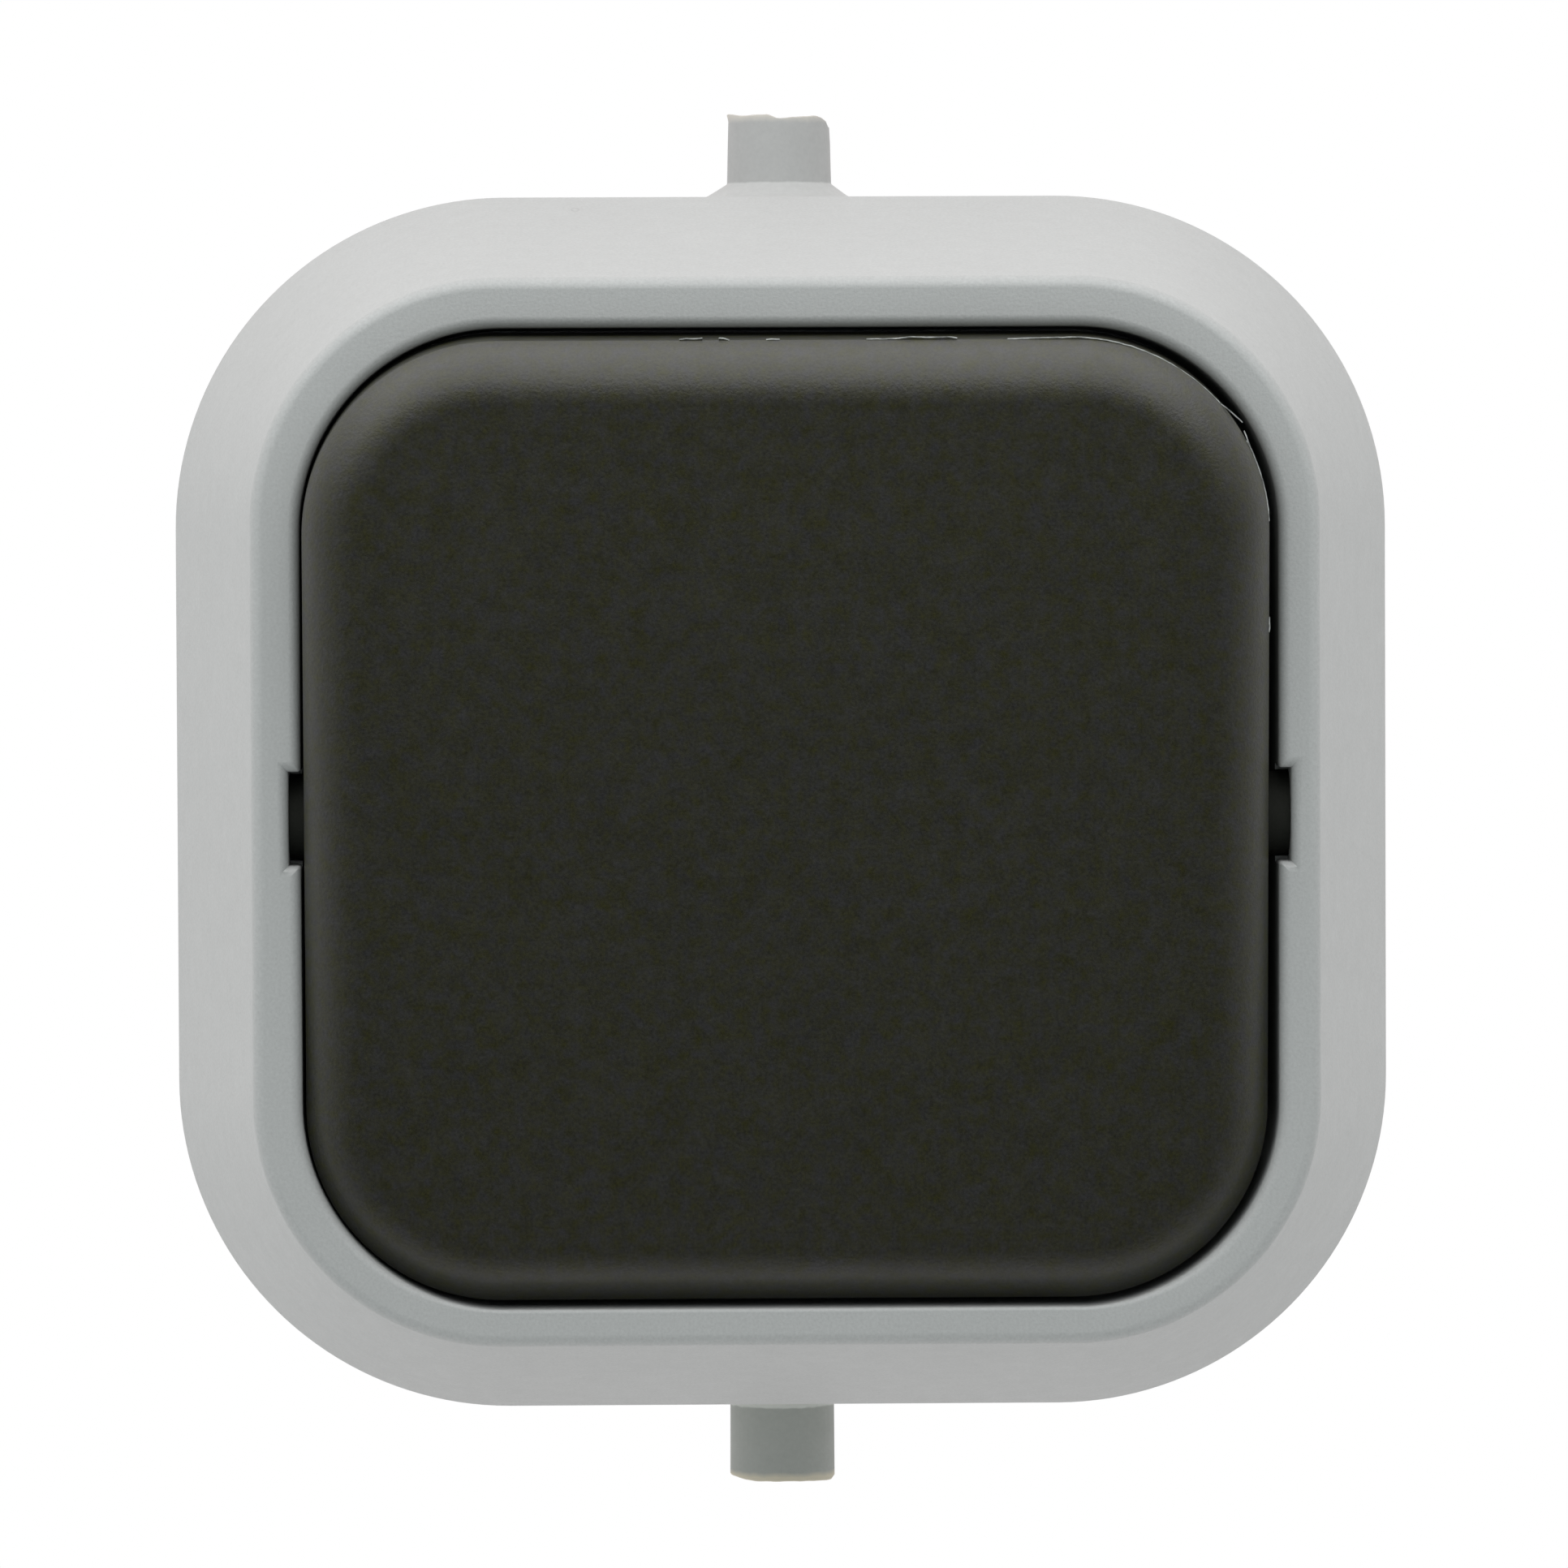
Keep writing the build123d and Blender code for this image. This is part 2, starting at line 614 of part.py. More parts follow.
# Toggle with its fork, pins and plunger bore, tilted against the rocker
def make_toggle():
    fork_top = stem_z + FORK_ABOVE
    lever_end = toggle_axis - TOGGLE_DROP
    lever = RectangleRounded(TOGGLE_HEIGHT, fork_top - lever_end, TOGGLE_EDGE_RADIUS)
    toggle = across(Pos(0, (fork_top + lever_end) / 2) * lever, TOGGLE_WIDTH)
    pin_reach = CHIMNEY_WIDTH / 2 + CHIMNEY_WALL
    toggle += cross_bar(TOGGLE_PIN_RADIUS, -pin_reach, pin_reach, toggle_axis)
    fork_floor = stem_z - STEM_TIP_RADIUS - FORK_FLOOR
    toggle -= brick(TOGGLE_WIDTH, 2 * (STEM_TIP_RADIUS + FORK_CLEARANCE), fork_floor, fork_top)
    bore_radius = PLUNGER_RADIUS + PLUNGER_CLEARANCE
    toggle -= peg((0, 0), bore_radius, lever_end, toggle_axis + BORE_PAST_AXIS)
    return tilted(toggle, toggle_axis, -toggle_tilt)


def make_plunger():
    shoulder = tip_z + PLUNGER_TIP_RADIUS + PLUNGER_BODY
    plunger = Pos(0, 0, tip_z) * Sphere(PLUNGER_TIP_RADIUS)
    plunger += peg((0, 0), PLUNGER_TIP_RADIUS, tip_z, tip_z + PLUNGER_TIP_RADIUS)
    plunger += peg((0, 0), PLUNGER_RADIUS, tip_z + PLUNGER_TIP_RADIUS, shoulder)
    plunger += peg((0, 0), PILOT_PIN_RADIUS, shoulder, shoulder + PILOT_PIN_LENGTH)
    return tilted(plunger, toggle_axis, -toggle_tilt)


def make_plunger_spring():
    bottom = tip_z + PLUNGER_TIP_RADIUS + PLUNGER_BODY + SPRING_WIRE / 2
    top = toggle_axis + BORE_PAST_AXIS - SPRING_WIRE / 2
    coil_radius = PLUNGER_RADIUS - SPRING_WIRE / 2
    coil = Helix((top - bottom) / SPRING_TURNS, top - bottom, coil_radius, center=(0, 0, bottom))
    wire = Plane(coil @ 0, z_dir=coil % 0) * Circle(SPRING_WIRE / 2)
    return tilted(sweep(wire, path=coil, is_frenet=True), toggle_axis, -toggle_tilt)


# Contact rocker, tilted by the plunger
def make_contact_rocker():
    length = 2 * (CONTACT_ARM + CONTACT_END)
    plan = RectangleRounded(CONTACT_WIDTH, length, CONTACT_END)
    lever = slab(plan, contact_axis, contact_top)
    cheek_x = (CONTACT_WIDTH - CHEEK_THICKNESS) / 2
    cheek_top = contact_top + CHEEK_HEIGHT
    for side in (1, -1):
        lever += brick(CHEEK_THICKNESS, CHEEK_LENGTH, contact_top, cheek_top, side * cheek_x)
    lever -= cross_bar(KNIFE_RADIUS + KNIFE_CLEARANCE, -CONTACT_WIDTH / 2, CONTACT_WIDTH / 2, contact_axis)
    return tilted(lever, contact_axis, contact_tilt)


def make_moving_contact_tips():
    face = contact_axis - TIP_HEIGHT
    tips = [peg((0, up * CONTACT_ARM), TIP_RADIUS, face, contact_axis) for up in (1, -1)]
    return tilted(Part() + tips, contact_axis, contact_tilt)


# Fixed contacts, strips and terminals
def make_fixed_contact_tips():
    """Each tip's face slopes to lie flat under the moving tip that closes on it."""
    face = contact_axis - TIP_HEIGHT - TIP_GAP
    tips = []
    for up in (1, -1):
        above = brick(4 * TIP_RADIUS, 4 * CONTACT_ARM, face, face + 2 * closed_drop)
        tip = peg((0, up * closed_y), TIP_RADIUS, strip_top, contact_axis)
        tips.append(tip - tilted(above, contact_axis, -up * contact_tilt))
    return Part() + tips


def strip(terminal_x, y):
    """Flat strip from under the contact rocker to the far side of its terminal."""
    far = terminal_x + (CLAMP_WIDTH if terminal_x > 0 else -CLAMP_WIDTH) / 2
    near = -CONTACT_WIDTH / 2 if terminal_x > 0 else CONTACT_WIDTH / 2
    return brick(abs(far - near), STRIP_WIDTH, chamber_floor, strip_top, (far + near) / 2, y)


def make_common_strip():
    """The common strip carries the knife edge that the contact rocker tips on."""
    edge = brick(CONTACT_WIDTH, 2 * KNIFE_RADIUS, strip_top, contact_axis)
    edge += cross_bar(KNIFE_RADIUS, -CONTACT_WIDTH / 2, CONTACT_WIDTH / 2, contact_axis)
    return strip(TERMINAL_X, 0) + edge


def make_upper_strip():
    return strip(-TERMINAL_X, closed_y)


def make_lower_strip():
    return strip(TERMINAL_X, -closed_y)


def wire_way(index, radius, length):
    """Straight bore for a wire: from the side at the common terminal, else from above or below."""
    x, y = terminal_places[index]
    if index == 0:
        return cross_bar(radius, x - CLAMP_WIDTH / 2, x + length, wire_z)
    up = 1 if y > 0 else -1
    return upright_bar(radius, y - up * CLAMP_HEIGHT / 2, y + up * length, x, wire_z)


def make_terminal_clamps():
    clamps = []
    for index, place in enumerate(terminal_places):
        clamp = brick(CLAMP_WIDTH, CLAMP_HEIGHT, strip_top, strip_top + CLAMP_DEPTH, *place)
        clamp -= wire_way(index, WIRE_HOLE_RADIUS, CLAMP_HEIGHT)
        clamp -= peg(place, TERMINAL_SCREW_RADIUS + PILOT_CLEARANCE, wire_z, strip_top + CLAMP_DEPTH)
        clamps.append(clamp)
    return Part() + clamps


def make_terminal_screws():
    seat = strip_top + CLAMP_DEPTH
    length = CLAMP_DEPTH - WIRE_HOLE_FLOOR - 2 * WIRE_HOLE_RADIUS
    screw = slotted_screw(
        seat, TERMINAL_HEAD_RADIUS, TERMINAL_HEAD_HEIGHT, TERMINAL_SCREW_RADIUS, length
    )
    return Part() + [Pos(*place) * screw for place in terminal_places]


# Socket with a chamber, terminal pockets, strip channels and wire ways
def make_switch_socket():
    socket = slab(RectangleRounded(SOCKET_WIDTH, SOCKET_HEIGHT, SOCKET_CORNER), socket_back, strap_under)
    chamber_width = CONTACT_WIDTH + 2 * CHAMBER_MARGIN
    chamber_height = 2 * (CONTACT_ARM + CONTACT_END + CHAMBER_MARGIN)
    socket -= brick(chamber_width, chamber_height, chamber_floor, strap_under)
    for index, (x, y) in enumerate(terminal_places):
        pocket_width = CLAMP_WIDTH + 2 * STRIP_FIT
        pocket_height = CLAMP_HEIGHT + 2 * STRIP_FIT
        socket -= brick(pocket_width, pocket_height, chamber_floor, strap_under, x, y)
        channel_top = strip_top + STRIP_FIT
        socket -= brick(abs(x), STRIP_WIDTH + 2 * STRIP_FIT, chamber_floor, channel_top, x / 2, y)
        socket -= wire_way(index, WIRE_HOLE_RADIUS + STRIP_FIT, SOCKET_WIDTH / 2)
    for place in rivet_places:
        socket -= peg(place, RIVET_RADIUS + RIVET_CLEARANCE, socket_back, strap_under)
        socket -= peg(place, RIVET_HEAD_RADIUS + RIVET_CLEARANCE, socket_back, socket_back + RIVET_HEAD)
    for place in post_places:
        socket -= peg(place, POST_RADIUS + SOCKET_CLEARANCE, socket_back, strap_under)
    return socket


# Every node, stood up against the wall
nodes = {
    "base_box": make_base_box(),
    "top_cable_grommet": make_top_grommet(),
    "bottom_cable_grommet": make_bottom_grommet(),
    "cover_gasket": carried_round(gasket_section(0)),
    "front_cover": make_front_cover(),
    "cover_screws": make_cover_screws(),
    "rocker": make_rocker(),
    "window_seal": make_window_seal(),
    "toggle_frame": make_toggle_frame(),
    "mounting_strap": make_mounting_strap(),
    "strap_screws": make_strap_screws(),
    "frame_rivets": make_frame_rivets(),
    "toggle": make_toggle(),
    "plunger": make_plunger(),
    "plunger_spring": make_plunger_spring(),
    "contact_rocker": make_contact_rocker(),
    "moving_contact_tips": make_moving_contact_tips(),
    "fixed_contact_tips": make_fixed_contact_tips(),
    "common_strip": make_common_strip(),
    "upper_strip": make_upper_strip(),
    "lower_strip": make_lower_strip(),
    "terminal_clamps": make_terminal_clamps(),
    "terminal_screws": make_terminal_screws(),
    "switch_socket": make_switch_socket(),
}
os.makedirs("parts", exist_ok=True)
for name, shape in nodes.items():
    export_step(Rot(90, 0, 0) * shape, f"parts/{name}.step")
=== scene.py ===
# %% [markdown]
# # A surface-mounted light switch for a damp room
#
# The switch is a grey box that screws to a wall, with a sloping cover, a dark pillow-shaped rocker
# and a soft cable nozzle above and below. The construction arrives as a imported frame with every
# piece at its real size. This lesson gives each piece its surface: fine spark-eroded plastic,
# soft rubber, rolled metal, and the small faults that moulding left on this one.
#
# We load the frame first, and read the sizes of its pieces from it. Nothing we add may change the
# object's size.

# %% Load the frame
import json
from math import asin, cos, pi, radians, sin, tan

import bmesh
import bpy
from mathutils import Matrix, Vector, noise


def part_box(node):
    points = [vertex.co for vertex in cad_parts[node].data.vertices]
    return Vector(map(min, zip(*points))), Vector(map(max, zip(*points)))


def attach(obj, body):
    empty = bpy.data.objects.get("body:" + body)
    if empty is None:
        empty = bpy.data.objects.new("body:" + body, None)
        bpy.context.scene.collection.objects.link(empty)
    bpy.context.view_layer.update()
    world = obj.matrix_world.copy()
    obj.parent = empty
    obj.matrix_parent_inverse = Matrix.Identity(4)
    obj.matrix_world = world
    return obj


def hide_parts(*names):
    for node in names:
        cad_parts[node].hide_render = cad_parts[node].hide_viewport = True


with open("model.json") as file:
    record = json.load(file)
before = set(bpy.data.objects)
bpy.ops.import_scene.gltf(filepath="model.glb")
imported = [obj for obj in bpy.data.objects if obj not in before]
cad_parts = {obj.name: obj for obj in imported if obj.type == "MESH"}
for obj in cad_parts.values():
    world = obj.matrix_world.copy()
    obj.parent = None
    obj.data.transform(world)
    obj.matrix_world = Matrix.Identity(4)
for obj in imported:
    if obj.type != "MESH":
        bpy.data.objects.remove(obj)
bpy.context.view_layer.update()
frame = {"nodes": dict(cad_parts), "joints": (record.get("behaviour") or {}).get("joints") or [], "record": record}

MM = 0.001
scene = bpy.context.scene

# %% [markdown]
# ## The camera
#
# The picture was taken from about half a metre with a long lens, a little to the left of the
# middle and a little above it. We could aim the camera with a constraint, but a plain rotation is
# easier to read: point the camera's -Z along the line of sight, then roll it by a quarter degree.

# %% Camera
CAMERA_AT = Vector((-9.35, -520.0, 17.38)) * MM
CAMERA_YAW = 0.01895
CAMERA_PITCH = -0.03289
CAMERA_ROLL = -0.0042
LENS = 209.8
SENSOR = 36.0
NEAREST = 0.01


def make_camera():
    data = bpy.data.cameras.new("front_view")
    data.sensor_width = SENSOR
    data.lens = LENS
    data.clip_start = NEAREST
    camera = bpy.data.objects.new("front_view", data)
    scene.collection.objects.link(camera)
    level = cos(CAMERA_PITCH)
    sight = Vector((sin(CAMERA_YAW) * level, cos(CAMERA_YAW) * level, sin(CAMERA_PITCH)))
    turn = sight.to_track_quat("-Z", "Y").to_matrix().to_4x4()
    roll = Matrix.Rotation(CAMERA_ROLL, 4, "Z")
    camera.matrix_world = Matrix.Translation(CAMERA_AT) @ turn @ roll
    scene.camera = camera
    return camera


print("camera:", make_camera().name, "lens", LENS)

# %% [markdown]
# ## Node helpers
#
# The world and the materials are graphs of nodes. Written out link by link they are hard to follow,
# so a few helpers add a node with its values, do arithmetic on sockets or place a noise.

# %% Node helpers
NOISE_LOW = 0.3
NOISE_HIGH = 0.7


def set_inputs(tree, node, values):
    """Link sockets to a node's named or numbered inputs, or set plain values there."""
    for key, value in values.items():
        if isinstance(value, bpy.types.NodeSocket):
            tree.links.new(value, node.inputs[key])
        else:
            node.inputs[key].default_value = value


def add(tree, kind, values=None, **settings):
    """Add a node, set its own properties, and then its inputs."""
    node = tree.nodes.new(kind)
    for key, value in settings.items():
        setattr(node, key, value)
    set_inputs(tree, node, values or {})
    return node


def work(tree, operation, first, second=0.0, third=0.0):
    """Arithmetic on sockets or plain numbers; gives the result's socket."""
    return add(tree, "ShaderNodeMath", {0: first, 1: second, 2: third}, operation=operation).outputs[0]


def object_place(tree):
    """The place on the object, in metres."""
    return add(tree, "ShaderNodeTexCoord").outputs["Object"]


def noise_texture(tree, place, scale, detail, roughness=0.5):
    values = {"Vector": place, "Scale": scale, "Detail": detail, "Roughness": roughness}
    return add(tree, "ShaderNodeTexNoise", values).outputs[0]


def stretched(tree, value, low, high):
    """Stretch the middle of a noise until it runs from a low value to a high one."""
    values = {"Value": value, "From Min": NOISE_LOW, "From Max": NOISE_HIGH, "To Min": low, "To Max": high}
    return add(tree, "ShaderNodeMapRange", values).outputs[0]


print("middle of a noise:", NOISE_LOW, "to", NOISE_HIGH)

# %% [markdown]
# ## Light like a white tent
#
# The switch was lit as product pictures often are: white walls all round, brighter behind and
# above, with the camera's own side the darkest and a little short of red. The world can do all of
# that. Rays that go straight to the camera, or through glass, see plain white of strength 1.
# Mirror rays see the same white behind the object, and it dims past the sides towards the camera.
# Light that falls on the object comes from a soft slope: a level plus a lean to the back, the top
# and the left.

# %% World
scene.view_settings.view_transform = "Standard"
WHITE = (1, 1, 1, 1)
FILL_LEVEL = 0.712
FILL_LEAN = (-0.083, 0.24, 0.086)
RED_LEAN = (0.0, 0.07, 0.045)
MIRROR_LEVEL = 0.653
MIRROR_LEAN = (0.0, 0.653, 0.304)


def make_world():
    world = bpy.data.worlds.new("white_tent")
    world.use_nodes = True
    scene.world = world
    tree = world.node_tree
    tree.nodes.clear()
    direction = add(tree, "ShaderNodeTexCoord").outputs["Generated"]
    path = add(tree, "ShaderNodeLightPath").outputs

    def slope(level, lean, clamp=False):
        along = add(tree, "ShaderNodeVectorMath", {0: direction, 1: lean}, operation="DOT_PRODUCT")
        terms = {0: along.outputs["Value"], 1: level}
        return add(tree, "ShaderNodeMath", terms, operation="ADD", use_clamp=clamp).outputs[0]

    def background(colour, strength):
        return add(tree, "ShaderNodeBackground", {"Color": colour, "Strength": strength}).outputs[0]

    def blend(factor, first, second):
        return add(tree, "ShaderNodeMixShader", {0: factor, 1: first, 2: second}).outputs[0]

    tint = add(tree, "ShaderNodeCombineColor", {"Red": slope(1.0, RED_LEAN), "Green": 1.0, "Blue": 1.0})
    fill = background(tint.outputs["Color"], slope(FILL_LEVEL, FILL_LEAN))
    mirror = background(WHITE, slope(MIRROR_LEVEL, MIRROR_LEAN, clamp=True))
    white = background(WHITE, 1.0)
    seen = blend(path["Is Glossy Ray"], fill, mirror)
    seen = blend(path["Is Transmission Ray"], seen, white)
    seen = blend(path["Is Camera Ray"], seen, white)
    add(tree, "ShaderNodeOutputWorld", {"Surface": seen})


make_world()
print("world: level", FILL_LEVEL, "lean", FILL_LEAN)

# %% [markdown]
# ### Two lamps above
#
# Two wide, flat lamps hang above and in front of the object, hidden from the camera so that they
# never stand in a view from above. The first shows only in mirrors: its image is the broad pale
# band on the rocker's upper edge. The second lights only matt surfaces, and its nearness makes the
# upper half of the cover brighter than the lower. One lamp could do both, but then the band and
# the cover couldn't each be set to its own brightness.

# %% Lamps
CARD_AT = (-15.0, -130.0, 200.0)
CARD_SIZE = (520.0, 300.0)
CARD_POWER = 0.561
KEY_AT = (0.0, -100.0, 120.0)
KEY_SIZE = (420.0, 80.0)
KEY_POWER = 0.122


def make_lamp(name, at, size, power, mirrored):
    """A flat lamp aimed at the middle, in millimetres; it shows in mirrors or lights matt surfaces."""
    data = bpy.data.lights.new(name, "AREA")
    data.shape = "RECTANGLE"
    data.size = size[0] * MM
    data.size_y = size[1] * MM
    data.energy = power
    lamp = bpy.data.objects.new(name, data)
    scene.collection.objects.link(lamp)
    place = Vector(at) * MM
    aim = (-place).to_track_quat("-Z", "Y").to_matrix().to_4x4()
    lamp.matrix_world = Matrix.Translation(place) @ aim
    lamp.visible_camera = False
    lamp.visible_glossy = mirrored
    lamp.visible_diffuse = not mirrored
    return lamp


for lamp in (
    make_lamp("card_above", CARD_AT, CARD_SIZE, CARD_POWER, mirrored=True),
    make_lamp("key_lamp", KEY_AT, KEY_SIZE, KEY_POWER, mirrored=False),
):
    print("lamp:", lamp.name, "watts", round(lamp.data.energy, 2))

# %% [markdown]
# ## Shared effects
#
# Effects that several finishes share are node groups, so that the grain of the cover and of the
# rocker is one recipe with two settings. Copying the nodes into each material would work too, but
# then each change would have to be made many times.

# %% Group helpers
FLOAT = "NodeSocketFloat"
COLOUR = "NodeSocketColor"
VECTOR = "NodeSocketVector"


def new_group(name, inputs, outputs):
    """An empty node group with its sockets, and its two ends."""
    group = bpy.data.node_groups.new(name, "ShaderNodeTree")
    for label, kind, default in inputs:
        socket = group.interface.new_socket(label, in_out="INPUT", socket_type=kind)
        socket.default_value = default
    for label, kind in outputs:
        group.interface.new_socket(label, in_out="OUTPUT", socket_type=kind)
    print("group:", name)
    return group, group.nodes.new("NodeGroupInput"), group.nodes.new("NodeGroupOutput")


def use_group(tree, name, values):
    """Place a group in a material with its own values."""
    return add(tree, "ShaderNodeGroup", values, node_tree=bpy.data.node_groups[name])


print("kinds of socket:", FLOAT, COLOUR, VECTOR)

# %% [markdown]
# ### Spark-eroded grain
#
# A mould eroded by sparks has tiny overlapping pits, about a sixth of a millimetre across, and the
# plastic copies them as a fine matte grain. Voronoi cells would look too regular, so the group adds
# a fine noise to a coarser one. Height feeds the bump, Patch varies the roughness a little, and
# Speckle makes single pits lighter or darker.

# %% Grain group
PATCH_SHARE = 0.25
NOISE_MIDDLE = 0.5


def make_grain_group():
    group, start, end = new_group(
        "spark_grain",
        [("Pit size", FLOAT, 0.16), ("Patch size", FLOAT, 1.2)],
        [("Height", FLOAT), ("Patch", FLOAT), ("Speckle", FLOAT)],
    )
    place = object_place(group)
    pit_scale = work(group, "DIVIDE", 1 / MM, start.outputs["Pit size"])
    patch_scale = work(group, "DIVIDE", 1 / MM, start.outputs["Patch size"])
    pits = noise_texture(group, place, pit_scale, detail=2.0, roughness=0.6)
    patches = noise_texture(group, place, patch_scale, detail=3.0)
    height = work(group, "MULTIPLY_ADD", patches, PATCH_SHARE, pits)
    speckle = work(group, "SUBTRACT", pits, NOISE_MIDDLE)
    set_inputs(group, end, {"Height": height, "Patch": patches, "Speckle": speckle})


make_grain_group()

# %% [markdown]
# ### Drift of colour
#
# No moulded or rolled surface is one even colour. This group makes a colour a little lighter and
# darker in soft clouds; Spread says how much and Cloud size how large the clouds are. Tint makes
# small flecks greyer or stronger in colour, as the dark rocker shows.

# %% Colour drift group
FLECKS_PER_MM = 1.8


def make_drift_group():
    group, start, end = new_group(
        "colour_drift",
        [
            ("Colour", COLOUR, (0.5, 0.5, 0.5, 1)),
            ("Spread", FLOAT, 0.03),
            ("Cloud size", FLOAT, 6.0),
            ("Tint", FLOAT, 0.0),
        ],
        [("Colour", COLOUR)],
    )

    def about_one(value, reach):
        """Turn a noise of 0 to 1 into a factor that swings about 1."""
        swing = work(group, "MULTIPLY_ADD", value, 2.0, -1.0)
        return work(group, "MULTIPLY_ADD", swing, reach, 1.0)

    place = object_place(group)
    scale = work(group, "DIVIDE", 1 / MM, start.outputs["Cloud size"])
    clouds = noise_texture(group, place, scale, detail=4.0)
    value = about_one(clouds, start.outputs["Spread"])
    flecks = noise_texture(group, place, FLECKS_PER_MM / MM, detail=1.0)
    strength = about_one(flecks, start.outputs["Tint"])
    values = {"Color": start.outputs["Colour"], "Saturation": strength, "Value": value}
    varied = add(group, "ShaderNodeHueSaturation", values)
    set_inputs(group, end, {"Colour": varied.outputs[0]})


make_drift_group()

# %% [markdown]
# ### Rolled and drawn metal
#
# Strip, screws and wire all carry fine lines from rolling or drawing. Stretching one noise along an
# axis gives such lines; the group puts out a roughness to mix in and a height for a faint bump.

# %% Metal lines group
LINE_STRETCH = (0.06, 1.0, 1.0)


def make_metal_group():
    group, start, end = new_group(
        "rolled_lines",
        [("Line spacing", FLOAT, 0.05), ("Smoothest", FLOAT, 0.2), ("Roughest", FLOAT, 0.4)],
        [("Roughness", FLOAT), ("Height", FLOAT)],
    )
    along = add(group, "ShaderNodeMapping", {"Vector": object_place(group), "Scale": LINE_STRETCH})
    scale = work(group, "DIVIDE", 1 / MM, start.outputs["Line spacing"])
    lines = noise_texture(group, along.outputs[0], scale, detail=2.0)
    roughness = stretched(group, lines, start.outputs["Smoothest"], start.outputs["Roughest"])
    set_inputs(group, end, {"Roughness": roughness, "Height": lines})


make_metal_group()

# %% [markdown]
# ### Small marks
#
# A few tiny marks sit on the cover: a ring, a scratch, a dark dot and a speck. Each is a soft spot
# about a point, so one group gives the mask of a spot that may be stretched into a line.

# %% Spot group
def make_spot_group():
    group, start, end = new_group(
        "soft_spot",
        [
            ("Place", VECTOR, (0, 0, 0)),
            ("Stretch", VECTOR, (1, 1, 1)),
            ("Radius", FLOAT, 0.2),
            ("Soft", FLOAT, 0.05),
        ],
        [("Mask", FLOAT)],
    )

    def vectors(operation, *values):
        return add(group, "ShaderNodeVectorMath", dict(enumerate(values)), operation=operation).outputs

    offset = vectors("SUBTRACT", object_place(group), start.outputs["Place"])[0]
    shaped = vectors("MULTIPLY", offset, start.outputs["Stretch"])[0]
    millimetres = work(group, "DIVIDE", vectors("LENGTH", shaped)["Value"], MM)
    past = work(group, "SUBTRACT", millimetres, start.outputs["Radius"])
    fade = work(group, "DIVIDE", past, start.outputs["Soft"])
    mask = add(group, "ShaderNodeClamp", {"Value": work(group, "SUBTRACT", 0.5, fade)})
    set_inputs(group, end, {"Mask": mask.outputs[0]})


make_spot_group()

# %% [markdown]
# ### Bands along the nozzles
#
# The group masks what lies within a band below a tip's height, with a wavering border. The nozzles
# use it for painted light: a lighter collar, and a cream glow painted at each thin tip.

# %% Tip band group
WAVER = 0.2
WAVERS_PER_MM = 1.5
FULL_SHARE = 0.6


def make_band_group():
    group, start, end = new_group(
        "tip_band", [("Tip", FLOAT, 38.0), ("Band", FLOAT, 0.4)], [("Mask", FLOAT)]
    )
    place = object_place(group)
    along = add(group, "ShaderNodeSeparateXYZ", {"Vector": place}).outputs["Z"]
    height = work(group, "DIVIDE", work(group, "ABSOLUTE", along), MM)
    waver = noise_texture(group, place, WAVERS_PER_MM / MM, detail=2.0)
    height = work(group, "MULTIPLY_ADD", waver, WAVER, work(group, "SUBTRACT", height, WAVER / 2))
    foot = work(group, "SUBTRACT", start.outputs["Tip"], start.outputs["Band"])
    share = work(group, "DIVIDE", work(group, "SUBTRACT", height, foot), start.outputs["Band"])
    mask = add(group, "ShaderNodeMapRange", {"Value": share, "From Min": 0.0, "From Max": FULL_SHARE})
    set_inputs(group, end, {"Mask": mask.outputs[0]})


make_band_group()

# %% [markdown]
# ## The finishes
#
# Every plastic here is the same idea with its own colour: drifted base colour, a roughness that
# follows the grain's patches, and the grain as bump. A function builds that part once, and each
# finish then adds what is its own. Metals share a second function in the same way.

# %% Plastic
GRAIN_HEIGHT = 0.06 * MM


def srgb(red, green, blue):
    """A colour as seen on screen, 0 to 255, as linear light."""
    shares = [value / 255 for value in (red, green, blue)]
    linear = [((share + 0.055) / 1.055) ** 2.4 if share > 0.04045 else share / 12.92 for share in shares]
    return (*linear, 1.0)


def new_material(name):
    material = bpy.data.materials.new(name)
    material.use_nodes = True
    tree = material.node_tree
    return material, tree, tree.nodes["Principled BSDF"]


def drifted(tree, colour, spread, cloud, tint=0.0):
    values = {"Colour": colour, "Spread": spread, "Cloud size": cloud, "Tint": tint}
    return use_group(tree, "colour_drift", values).outputs["Colour"]


def brightened(tree, colour, value):
    return add(tree, "ShaderNodeHueSaturation", {"Color": colour, "Value": value}).outputs[0]


def bumped(tree, height, strength, distance):
    values = {"Height": height, "Strength": strength, "Distance": distance}
    return add(tree, "ShaderNodeBump", values).outputs[0]


def plastic(
    name, colour, pit=0.16, depth=0.3, rough=(0.5, 0.6),
    spread=0.02, cloud=8.0, specular=0.5, speck=0.28, tint=0.0,
):
    """Grained plastic; gives the material, its tree, its shader and the socket of its colour."""
    material, tree, shader = new_material(name)
    grain = use_group(tree, "spark_grain", {"Pit size": pit}).outputs
    value = work(tree, "MULTIPLY_ADD", grain["Speckle"], speck, 1.0)
    speckled = brightened(tree, drifted(tree, colour, spread, cloud, tint), value)
    roughness = stretched(tree, grain["Patch"], *rough)
    normal = bumped(tree, grain["Height"], depth, GRAIN_HEIGHT)
    set_inputs(tree, shader, {"Base Color": speckled, "Roughness": roughness, "Normal": normal})
    set_inputs(tree, shader, {"Specular IOR Level": specular})
    return material, tree, shader, speckled


print("mid grey as linear light:", round(srgb(128, 128, 128)[0], 3))

# %% Metal
LINE_HEIGHT = 0.02 * MM
LINE_BUMP = 0.15
METAL_SPREAD = 0.06
METAL_CLOUD = 2.5


